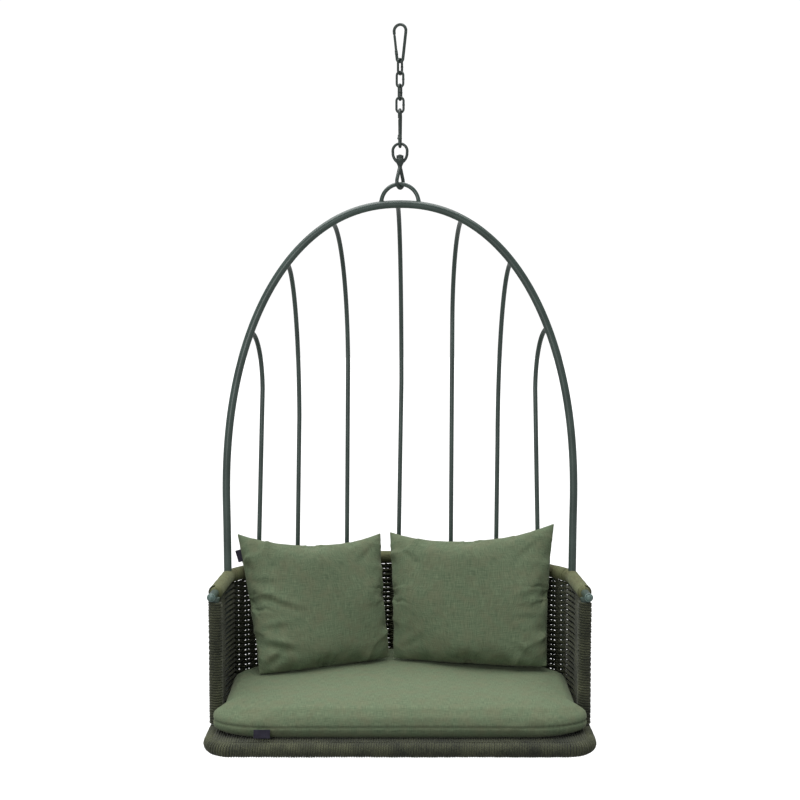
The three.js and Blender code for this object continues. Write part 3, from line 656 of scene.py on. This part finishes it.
def snap_hook(name, body, turn, top):
    """A pear-shaped snap hook: bent wire body, sprung gate with a flat tongue, and its rivet."""
    span = HOOK_INNER + 2 * HOOK_BAR - HOOK_WIDE - HOOK_NARROW
    tilt = math.asin((HOOK_WIDE - HOOK_NARROW) / span)
    low, high = Vector((0, 0, HOOK_NARROW)), Vector((0, 0, HOOK_NARROW + span))

    def around(centre, radius, angle):
        return centre + Vector((math.cos(angle), 0, math.sin(angle))) * radius

    up_gate = Vector((-math.sin(tilt), 0, math.cos(tilt)))
    hinge = around(low, HOOK_NARROW, math.pi + tilt) + up_gate * GATE_FOOT
    nose = around(high, HOOK_WIDE, math.pi + tilt) - up_gate * GATE_HEAD
    foot = top - HOOK_INNER - HOOK_BAR
    line = [hinge + up_gate * 3.0, hinge]
    line += [around(low, HOOK_NARROW, math.pi + tilt + t * (math.pi - 2 * tilt)) for t in spread(16)]
    line += [around(high, HOOK_WIDE, -tilt + t * (math.pi + 2 * tilt)) for t in spread(24)]
    line += [nose + up_gate * 1.5, nose]
    ends = [HOOK_BAR - 1.6, HOOK_BAR]
    bm = bmesh.new()
    sweep(bm, line, ends + [HOOK_BAR] * (len(line) - 4) + ends[::-1], 20)
    swing_into_place(bm, turn, foot)
    chain_piece(bm, f"{name}_wire", body, f"{name}_body")

    length = (nose - hinge).length
    lean = Matrix.Translation(hinge) @ Matrix.Rotation(-tilt, 4, "Y")
    bm = bmesh.new()
    gate = [(0, 0, z) for z in (4.8, 6.2, 9, length - 3.2, length - 1.6, length - 0.7)]
    sweep(bm, gate, [3.2, GATE_BAR, GATE_BAR, GATE_BAR, GATE_BAR - 0.4, GATE_BAR - 1.6], 20)
    tongue = bmesh.ops.create_cube(bm, size=1.0)["verts"]
    bmesh.ops.transform(bm, verts=tongue, matrix=Matrix.Translation((0, 0, 4.0))
                        @ Matrix.Diagonal((7.2, 2 * TONGUE + 7.2, 15.6, 1)))
    edges = list({edge for vert in tongue for edge in vert.link_edges})
    bmesh.ops.bevel(bm, geom=edges, offset=1.4, segments=3, profile=0.5, affect="EDGES",
                    material=-1)
    bmesh.ops.transform(bm, matrix=lean, verts=bm.verts)
    swing_into_place(bm, turn, foot)
    chain_piece(bm, f"{name}_gate_bar", name.replace("hook", "gate"), f"{name}_gate")

    bm = bmesh.new()
    reach = HOOK_BAR + 1.0
    dome = [(0, reach + 2.0), (1.6, reach + 1.7), (3.0, reach + 0.9), (3.6, reach), (3.6, reach - 0.6),
            (RIVET, reach - 0.6)]
    turned(bm, dome + [(r, -z) for r, z in reversed(dome)], 24)
    bmesh.ops.transform(bm, matrix=Matrix.Translation(hinge) @ Matrix.Rotation(math.pi / 2, 4, "X"),
                        verts=bm.verts)
    swing_into_place(bm, turn, foot)
    chain_piece(bm, f"{name}_pin", body, f"{name}_rivet")


snap_hook("upper_hook", "upper_hook", CHAIN_TURN["upper_hook"], 0)
snap_hook("lower_hook", "chain", CHAIN_TURN["lower_hook"], -264.3)

# ---- chain links ------------------------------------------------------------------------------

LINK_BAR, LINK_INNER, LINK_HALF = 3.75, 40, 11.25  # wire radius, inside length, half width
for number, (turn, top) in enumerate(
        zip(CHAIN_TURN["links"], (-105.5, -145.2, -184.9, -224.6)), 1):
    end = LINK_INNER / 2 + LINK_BAR - LINK_HALF
    line = [(LINK_HALF * math.cos(a), 0, end + LINK_HALF * math.sin(a))
            for a in spread(16, 0, math.pi)]
    line += [(-x, 0, -z) for x, y, z in line]
    weld = [0.0] * len(line) + [0.0, 0.55, 0.75, 0.55, 0.0]
    line += [(LINK_HALF, 0, z) for z in (-2.4, -1.2, 0, 1.2, 2.4)]
    bm = bmesh.new()
    sweep(bm, line, [LINK_BAR + w for w in weld], 16, closed=True)
    swing_into_place(bm, turn, top - LINK_INNER / 2)
    chain_piece(bm, f"link_{number}_wire", "upper_hook" if number == 1 else "chain",
                f"chain_link_{number}")

# ---- swivel -----------------------------------------------------------------------------------

BOW_TOP, HUB_TOP, HUB_FOOT = -369.8, -412.8, -434.8
BOW_BAR, BOW_REACH = 4.5, 22.75
crown = BOW_TOP + BOW_BAR - BOW_REACH
bow = [(10, 0, HUB_TOP - 9), (13, 0, HUB_TOP - 6), (16.5, 0, HUB_TOP - 1.5), (19, 0, HUB_TOP + 3),
       (20.8, 0, HUB_TOP + 7.5), (22.2, 0, HUB_TOP + 13)]
arc = [(BOW_REACH * math.cos(a), 0, crown + BOW_REACH * math.sin(a)) for a in spread(32, 0, math.pi)]
bm = bmesh.new()
sweep(bm, bow + arc + [(-x, y, z) for x, y, z in reversed(bow)], BOW_BAR, 20)
turned(bm, [(0, HUB_FOOT + 1), (5.3, HUB_FOOT + 1), (5.3, HUB_FOOT), (7, HUB_FOOT),
            (7.8, HUB_FOOT + 0.8), (14.2, HUB_TOP - 7.5), (15, HUB_TOP - 6), (15, HUB_TOP - 1),
            (14.2, HUB_TOP), (5.3, HUB_TOP), (5.3, HUB_TOP - 1), (0, HUB_TOP - 1)])
chain_piece(bm, "swivel_bow_wire", "chain", "swivel_bow")

EYE_BAR, EYE_LOW, EYE_HIGH = 5.75, 20.25, 5.5
neck = HUB_FOOT - 0.3
eye_top = neck - EYE_BAR - EYE_HIGH - 2
eye_bottom = neck - 75 + EYE_BAR + EYE_LOW
eye_tilt = math.asin((EYE_LOW - EYE_HIGH) / (eye_top - eye_bottom))
eye = [(EYE_HIGH * math.cos(a), 0, eye_top + EYE_HIGH * math.sin(a))
       for a in spread(10, eye_tilt, math.pi - eye_tilt)]
eye += [(EYE_LOW * math.cos(a), 0, eye_bottom + EYE_LOW * math.sin(a))
        for a in spread(36, math.pi - eye_tilt, 2 * math.pi + eye_tilt)]
bm = bmesh.new()
sweep(bm, eye, EYE_BAR, 20, closed=True)
turned(bm, [(0, neck - 10), (6, neck - 10), (6.8, neck - 4), (7, neck - 1), (6.4, neck), (5, neck),
            (5, HUB_TOP + 12.6), (4.4, HUB_TOP + 13.4), (0, HUB_TOP + 13.4)])
swing_into_place(bm, CHAIN_TURN["eye"], 0)
chain_piece(bm, "swivel_eye_wire", "swivel_eye", "swivel_eye")

NUT_ACROSS, NUT_HEIGHT = 20, 10.6
bm = bmesh.new()
bmesh.ops.create_circle(bm, cap_ends=True, segments=6, radius=NUT_ACROSS / math.sqrt(3),
                        matrix=Matrix.Translation((0, 0, HUB_TOP + 0.5)))
pulled = bmesh.ops.extrude_face_region(bm, geom=list(bm.faces))["geom"]
bmesh.ops.translate(bm, vec=(0, 0, NUT_HEIGHT),
                    verts=[part for part in pulled if isinstance(part, bmesh.types.BMVert)])
bmesh.ops.rotate(bm, cent=(0, 0, 0), matrix=Matrix.Rotation(math.radians(30), 3, "Z"),
                 verts=bm.verts)
bmesh.ops.bevel(bm, geom=bm.edges[:], offset=0.9, segments=3, profile=0.5, affect="EDGES",
                material=-1)
chain_piece(bm, "swivel_nut_hexagon", "swivel_eye", "swivel_nut")

# ---- cushions ---------------------------------------------------------------------------------


def vectors(items, field):
    """One vector of each item, as the rows of an array."""
    rows = np.empty(len(items) * 3)
    items.foreach_get(field, rows)
    return rows.reshape(-1, 3)


def put_points(mesh, points):
    """Moves the mesh's points."""
    mesh.vertices.foreach_set("co", np.asarray(points, dtype=np.float32).ravel())
    mesh.update()


def stuff(piece, pressure, frames, limit, bending=0.5, tension=15.0):
    """Blows a closed cover up from inside as its filling does, and keeps the shape it takes.
    No point moves further than limit."""
    scene = bpy.context.scene
    cloth = piece.modifiers.new("filling", "CLOTH")
    cloth.settings.quality = 5
    cloth.settings.mass = 0.3
    cloth.settings.tension_stiffness = tension
    cloth.settings.compression_stiffness = tension
    cloth.settings.bending_stiffness = bending
    cloth.settings.use_pressure = True
    cloth.settings.uniform_pressure_force = pressure
    cloth.settings.effector_weights.gravity = 0
    cloth.collision_settings.use_collision = False
    cloth.point_cache.frame_end = frames
    for step in range(1, frames + 1):
        scene.frame_set(step)
    shaped = piece.evaluated_get(bpy.context.evaluated_depsgraph_get()).data
    before = vectors(piece.data.vertices, "co")
    move = vectors(shaped.vertices, "co") - before
    far = np.linalg.norm(move, axis=1)
    move *= (np.minimum(far, limit) / np.maximum(far, 1e-9))[:, None]
    piece.modifiers.remove(cloth)
    scene.frame_set(1)
    return before + move


# the seat cushion: a boxed cushion, its front corners round, its back following the wall
SEAT_LOW, SEAT_TOP, SEAT_FRONT, SEAT_HALF, SEAT_WAIST = 46, 132, -458, 567, 544
SEAT_CORNER = (190, 98)  # how wide and how deep its front corners round
SEAM_Z, SEAM_DEPTH, SEAM_WIDTH = 82, 3.4, 3.4  # the seam that joins the top cover to the bottom
CROWN, SAG = 7, 3  # how far the top swells, and sinks where people sit
CORNER_SINK, CORNER_LIFT = 26, 7  # how much less the front corners hold, above and below
FRONT_FALL = 10  # how far the top falls to its front edge
SIT_X, SIT_Y = 270, -120  # where each person sits


def seat_outline(inset):
    """Plan of the cushion's right half from the middle of the front to the middle of the back."""
    wide, deep = SEAT_CORNER
    points = [(0, SEAT_FRONT + inset), (220, SEAT_FRONT + inset)]
    points += [(SEAT_HALF - wide + (wide - inset) * math.sin(a),
                SEAT_FRONT + deep - (deep - inset) * math.cos(a))
               for a in spread(14, 0, math.pi / 2)]
    points += [(SEAT_HALF - inset - 6, POST_Y - 56), (SEAT_WAIST - inset, POST_Y - 26),
               (SEAT_WAIST - inset, -40)]
    for t in spread(14):
        p = rail_bend(0.12 + 0.88 * t)
        points.append((max(p.x * 0.94 - 8 - inset * (1 - t), 0), min(p.y * 0.84, 262) - 12 - inset * t))
    return points


def seat_cushion():
    rim = 3
    outline = seat_outline(rim)
    plan = outline + [(-x, y) for x, y in reversed(outline[1:-1])]
    bm = bmesh.new()
    verts = [bm.verts.new((x, y, SEAT_LOW + 1)) for x, y in plan]
    bm.faces.new(verts)
    pulled = bmesh.ops.extrude_face_region(bm, geom=list(bm.faces))["geom"]
    top = [g for g in pulled if isinstance(g, bmesh.types.BMVert)]
    bmesh.ops.translate(bm, vec=(0, 0, SEAT_TOP - SEAT_LOW - 5), verts=top)
    rims = [e for e in bm.edges if abs(e.verts[0].co.z - e.verts[1].co.z) < 1]
    bmesh.ops.bevel(bm, geom=rims, offset=24, segments=5, profile=0.5, affect="EDGES", material=-1,
                    clamp_overlap=True)
    bmesh.ops.triangulate(bm, faces=bm.faces[:])
    piece = settle(bm, "seat_cushion_cover")
    remesh = piece.modifiers.new("even", "REMESH")
    remesh.mode = "VOXEL"
    remesh.voxel_size = 0.008
    even = evaluated(piece)
    piece.modifiers.remove(remesh)
    piece.data = even
    put_points(even, stuff(piece, 3.0, 12, 0.009))
    double = piece.modifiers.new("finer", "SUBSURF")
    double.levels = double.render_levels = 1
    fine = evaluated(piece)
    piece.modifiers.remove(double)
    piece.data = fine

    points, normals = vectors(fine.vertices, "co"), vectors(fine.vertex_normals, "vector")
    x, y, z = (points / MM).T
    z = z - BASE_UNDERSIDE
    # crown the top, sag the middle a little where people sit, and pull the seam in
    inside = np.clip((np.minimum(SEAT_HALF - abs(x), y - SEAT_FRONT)) / 140, 0, 1)
    top_side = np.clip((z - 100) / 24, 0, 1)
    sat = np.exp(-((abs(x) - SIT_X) / 160) ** 2 - ((y - SIT_Y) / 170) ** 2)
    z = z + top_side * (CROWN * np.sin(inside * math.pi / 2) - SAG * sat)
    z = z + top_side * (0.9 * np.sin(x * 0.021 + y * 0.013) + 0.7 * np.sin(x * 0.008 - y * 0.02 + 1))
    # the front corners hold less filling: their top sinks and their underside lifts
    slack = np.exp(-((abs(x) - SEAT_HALF) / 120) ** 2 - ((y - SEAT_FRONT - 50) / 130) ** 2)
    height = np.clip((z - SEAT_LOW) / (SEAT_TOP - SEAT_LOW), 0, 1)
    z += slack * (CORNER_LIFT - CORNER_SINK * height)
    z -= FRONT_FALL * height * np.exp(-((y - SEAT_FRONT) / 70) ** 2)
    side = np.clip(1 - abs(normals[:, 2]) * 1.1, 0, 1)
    pull = SEAM_DEPTH * np.exp(-((z - SEAM_Z) / SEAM_WIDTH) ** 2) * side
    puckers = 0.5 * np.sin(x * 0.26 + y * 0.26) * np.exp(-((z - SEAM_Z) / 12) ** 2) * side
    flat = normals * (-pull + puckers)[:, None]
    z = np.maximum(z, SEAT_LOW + 0.3)
    cloth = np.stack([x, y], axis=1)
    level = normals[:, :2] / np.maximum(np.linalg.norm(normals[:, :2], axis=1), 1e-6)[:, None]
    cloth += level * (np.maximum(SEAT_TOP - z, 0) * np.clip(1.2 - abs(normals[:, 2]), 0, 1))[:, None]
    points = (np.stack([x, y, z + BASE_UNDERSIDE], axis=1) + flat) * MM
    put_points(fine, points)
    lay_cloth(fine, cloth * MM)
    fine.shade_smooth()
    fine.name = "seat_cushion_cover"
    belong(piece, CUSHION_CLOTH, "cushion_fabric", "seat", "seat_cushion")


def lay_cloth(mesh, flat):
    """Writes the cloth's own coordinates, in metres, to the mesh's cloth map."""
    layer = mesh.uv_layers.get("cloth") or mesh.uv_layers.new(name="cloth")
    corners = np.empty(len(mesh.loops), dtype=np.int32)
    mesh.loops.foreach_get("vertex_index", corners)
    layer.uv.foreach_set("vector", np.asarray(flat, dtype=np.float32)[corners].ravel())


# where each pillow's middle is, its thickness, how far it leans back and is turned, its corners in
# its own upright plane (low left, low right, top right, top left), and how far its lower, right,
# top and left edges draw in between them
PILLOWS = {
    "pillow_left": ((-268, 66, 350), 136, 20, 17,
                    ((-224, -232), (224, -207), (234, 208), (-255, 231)), (-4, 8, 42, 10)),
    "pillow_right": ((250, 60, 350), 136, 19, -15,
                     ((-264, -209), (249, -203), (244, 263), (-314, 210)), (-4, 10, 46, 6)),
}


def edge_bow(q):
    """How an edge draws in: nothing at its corners, fully over most of its length."""
    return 1 - abs(2 * q - 1) ** 2.4


def between(s, t, corners, dips):
    """Places on a sheet whose corners and drawn-in edges are given, s across and t up, 0 to 1."""
    (lx, lz), (rx, rz), (qx, qz), (px, pz) = corners
    low, right, top, left = dips
    x = (1 - s) * (1 - t) * lx + s * (1 - t) * rx + s * t * qx + (1 - s) * t * px
    z = (1 - s) * (1 - t) * lz + s * (1 - t) * rz + s * t * qz + (1 - s) * t * pz
    x += edge_bow(t) * ((1 - s) * left - s * right)
    z += edge_bow(s) * ((1 - t) * low - t * top)
    return x, z


def crease(u, v, at, along, length, width):
    """A soft fold of cloth: a long ridge with a valley beside it, across the pillow's face."""
    turn = math.radians(along)
    du, dv = u - at[0], v - at[1]
    a = du * math.cos(turn) + dv * math.sin(turn)
    b = -du * math.sin(turn) + dv * math.cos(turn)
    fade = np.exp(-(a / length) ** 2)
    return fade * (np.exp(-((b - width * 0.7) / width) ** 2) - np.exp(-((b + width * 0.7) / width) ** 2))


# where each pillow's folds lie on its face, from -1 to 1, their direction, length, width and height
FOLDS = {
    "pillow_left": [((-0.60, 0.02), -18, 0.24, 0.05, 6.0), ((-0.80, 0.10), 4, 0.16, 0.06, 5.0),
                    ((-0.72, -0.34), 10, 0.18, 0.05, 4.0), ((-0.78, 0.34), 8, 0.16, 0.05, 3.0),
                    ((-0.70, -0.62), -14, 0.20, 0.06, 9.0), ((-0.80, -0.80), 34, 0.14, 0.06, 8.0),
                    ((0.70, 0.74), 42, 0.18, 0.05, 2.5), ((-0.1, 0.90), 80, 0.07, 0.05, 1.5),
                    ((0.2, 0.88), 100, 0.06, 0.05, 1.5)],
    "pillow_right": [((0.80, -0.30), -8, 0.16, 0.05, 2.5), ((0.78, 0.02), 6, 0.14, 0.05, 2.0),
                     ((-0.74, 0.72), -42, 0.16, 0.05, 2.5), ((0.72, 0.72), 45, 0.18, 0.05, 2.5),
                     ((-0.72, -0.70), 40, 0.16, 0.05, 3.0), ((0.74, -0.78), -40, 0.16, 0.05, 3.0)],
}


CUT, PUFF = 500, 26  # each cloth's side, and how far each half stands out before it is stuffed
# which lower corner of each pillow slides forward on the seat, how far up that reaches, how far
SLUMP = {"pillow_left": (-1, 0.5, 46), "pillow_right": (1, 0.4, 14)}


def throw_pillow(name, at, thick, lean, yaw, corners, dips):
    """Two square cloths sewn round their edge and stuffed, so the corners stay pointed."""
    steps = 80
    bm = bmesh.new()
    bmesh.ops.create_grid(bm, x_segments=steps, y_segments=steps, size=1)
    front = bm.verts[:]
    copy = bmesh.ops.duplicate(bm, geom=bm.verts[:] + bm.edges[:] + bm.faces[:])["geom"]
    back = [g for g in copy if isinstance(g, bmesh.types.BMVert)]
    bmesh.ops.reverse_faces(bm, faces=[g for g in copy if isinstance(g, bmesh.types.BMFace)])
    for way, verts in ((-1, front), (1, back)):
        for vert in verts:
            u, v = vert.co.x, vert.co.y
            rise = max((1 - u ** 2) * (1 - v ** 2), 0) ** 0.5
            vert.co = (u * CUT / 2, way * PUFF * rise, v * CUT / 2)
    bmesh.ops.remove_doubles(bm, verts=bm.verts[:], dist=0.01)
    bmesh.ops.recalc_face_normals(bm, faces=bm.faces[:])
    flat = np.array([(v.co.x, v.co.z) for v in bm.verts])
    behind = np.array([v.co.y > 1 for v in bm.verts])
    column = np.unique(np.round(flat[:, 0], 2), return_inverse=True)[1].ravel()
    row = np.unique(np.round(flat[:, 1], 2), return_inverse=True)[1].ravel()
    piece = settle(bm, f"{name}_cover", 0, 180)
    mesh = piece.data
    lay_cloth(mesh, (flat + np.outer(behind, (900, 0))) * MM)
    put_points(mesh, stuff(piece, 5.0, 26, 0.2, bending=0.3, tension=12))
    bm = bmesh.new()
    bm.from_mesh(mesh)
    bm.verts.ensure_lookup_table()
    faces = [bm.verts[i] for i in np.nonzero(abs(flat).max(axis=1) < CUT * 0.48)[0]]
    for _ in range(6):  # the filling evens out the smallest puckers
        bmesh.ops.smooth_vert(bm, verts=faces, factor=0.5, use_axis_x=True, use_axis_y=True,
                              use_axis_z=True)
    bm.to_mesh(mesh)
    bm.free()
    shape = vectors(mesh.vertices, "co") / MM

    # every thread keeps its place between the seams, and the seams take their real outline
    last_column, last_row = column.max(), row.max()

    def seam(index, at_index, by, axis):
        """The seam's place along one axis for each row or column."""
        ends = np.zeros(by.max() + 1)
        ends[by[index == at_index]] = shape[index == at_index, axis]
        return ends[by]

    left, right = seam(column, 0, row, 0), seam(column, last_column, row, 0)
    low, top = seam(row, 0, column, 2), seam(row, last_row, column, 2)
    s = (shape[:, 0] - left) / np.where(abs(right - left) > 1, right - left, 1)
    t = (shape[:, 2] - low) / np.where(abs(top - low) > 1, top - low, 1)
    s, t = np.clip(s, 0, 1), np.clip(t, 0, 1)
    x, z = between(s, t, corners, dips)
    y = shape[:, 1] * thick / np.ptp(shape[:, 1])
    fullness = np.clip(abs(y) / 14, 0, 1) * np.where(y < 0, -1, 0.6)
    for place, along, length, width, height in FOLDS[name]:
        y += fullness * height * crease(2 * s - 1, 2 * t - 1, place, along, length, width)
    across, reach, ahead = SLUMP[name]
    y -= ahead * np.exp(-((2 * s - 1 - across) ** 2 + (2 * t) ** 2) / reach)
    turn = (Matrix.Rotation(math.radians(yaw), 3, "Z") @ Matrix.Rotation(math.radians(-lean), 3, "X"))
    shape = np.stack([x, y, z], axis=1) @ np.array(turn).T + np.array(at)
    # its lower edge rests on the seat cushion and spreads there
    rest_z = SEAT_TOP + 8
    shape[:, 2] += np.maximum(rest_z - shape[:, 2], 0) * 0.9
    put_points(mesh, (shape + (0, 0, BASE_UNDERSIDE)) * MM)
    mesh.shade_smooth()
    smooth = piece.modifiers.new("finer", "SUBSURF")
    smooth.levels = smooth.render_levels = 1
    belong(piece, CUSHION_CLOTH, "cushion_fabric", "seat", name)


seat_cushion()
for name, facts in PILLOWS.items():
    throw_pillow(name, *facts)


def tag(name, place, width, height, curl):
    """A blank folded ribbon tag, caught in a seam. place puts its middle and turns it."""
    bm = bmesh.new()
    bmesh.ops.create_grid(bm, x_segments=8, y_segments=6, size=0.5)
    for vert in bm.verts:
        vert.co = (vert.co.x * width, curl * (vert.co.x + 0.5) ** 2, vert.co.y * height)
    bmesh.ops.recalc_face_normals(bm, faces=bm.faces)
    bmesh.ops.solidify(bm, geom=bm.faces[:], thickness=1.2)
    bmesh.ops.transform(bm, matrix=place, verts=bm.verts)
    belong(settle(bm, name), TAG_CLOTH, "tag_fabric", "seat")


tag("seat_tag", Matrix.Translation((-403, -462, 68)) @ Matrix.Rotation(-0.1, 4, "X"), 48, 25, 0)
middle, _, lean, yaw = PILLOWS["pillow_left"][:4]
leaning = (Matrix.Translation(middle) @ Matrix.Rotation(math.radians(yaw), 4, "Z")
           @ Matrix.Rotation(math.radians(-lean), 4, "X"))
tag("pillow_tag", leaning @ Matrix.Translation((-246, 0, 157)) @ Matrix.Rotation(-0.22, 4, "Y"),
    30, 40, 3)

# ---- floor, light and camera ------------------------------------------------------------------

floor = bpy.data.meshes.new("studio_floor")
bm = bmesh.new()
bmesh.ops.create_circle(bm, cap_ends=True, segments=64, radius=40,
                        matrix=Matrix.Translation((0, 0, -2.75)))
bm.to_mesh(floor)
bm.free()
ground = bpy.data.objects.new("studio_floor", floor)
bpy.context.collection.objects.link(ground)
pale, tree = new_material("pale painted floor")
# the floor is seen pale, and throws back only a little light, as a wide dark studio would
seen = node(tree, "LightPath").outputs["Is Camera Ray"]
face = node(tree, "Mix", {0: seen, 6: shade("#8c8c8c"), 7: shade("#ececec")},
            data_type="RGBA").outputs[2]
matt = node(tree, "BsdfDiffuse", {"Color": face})
node(tree, "OutputMaterial", {"Surface": matt.outputs[0]})
floor.materials.append(pale)

world = bpy.data.worlds.new("studio")
world.use_nodes = True
tree = world.node_tree
tree.nodes.clear()
# the room is seen white, and gives only a weak light of its own
seen = node(tree, "LightPath").outputs["Is Camera Ray"]
strength = node(tree, "MapRange", {0: seen, 3: 0.24, 4: 1.05}).outputs[0]
sky = node(tree, "Background", {"Color": (1, 1, 1, 1), "Strength": strength})
node(tree, "OutputWorld", {"Surface": sky.outputs[0]})
bpy.context.scene.world = world
bpy.context.scene.view_settings.view_transform = "Standard"


def softbox(name, place, aim, size, power):
    lamp = bpy.data.lights.new(name, "AREA")
    lamp.shape = "RECTANGLE"
    lamp.size, lamp.size_y = size
    lamp.energy = power
    box = bpy.data.objects.new(name, lamp)
    box.location = place
    box.rotation_euler = (Vector(aim) - Vector(place)).to_track_quat("-Z", "Y").to_euler()
    bpy.context.collection.objects.link(box)


overhead = bpy.data.lights.new("overhead_silk", "SUN")
overhead.energy = 4.1
overhead.angle = math.radians(80)
silk = bpy.data.objects.new("overhead_silk", overhead)
silk.rotation_euler = (math.radians(-3), math.radians(-6), 0)
bpy.context.collection.objects.link(silk)
softbox("front_softbox", (-1.2, -3.2, -0.9), (0, -0.3, -1.9), (1.4, 1.6), 28)

lens = bpy.data.cameras.new("camera")
lens.sensor_width = 36
lens.lens = 60.39
camera = bpy.data.objects.new("camera", lens)
camera.location = (0, -4.290, -0.858)
camera.rotation_euler = (math.radians(90 - 4.2616), 0, 0)
bpy.context.collection.objects.link(camera)
bpy.context.scene.camera = camera
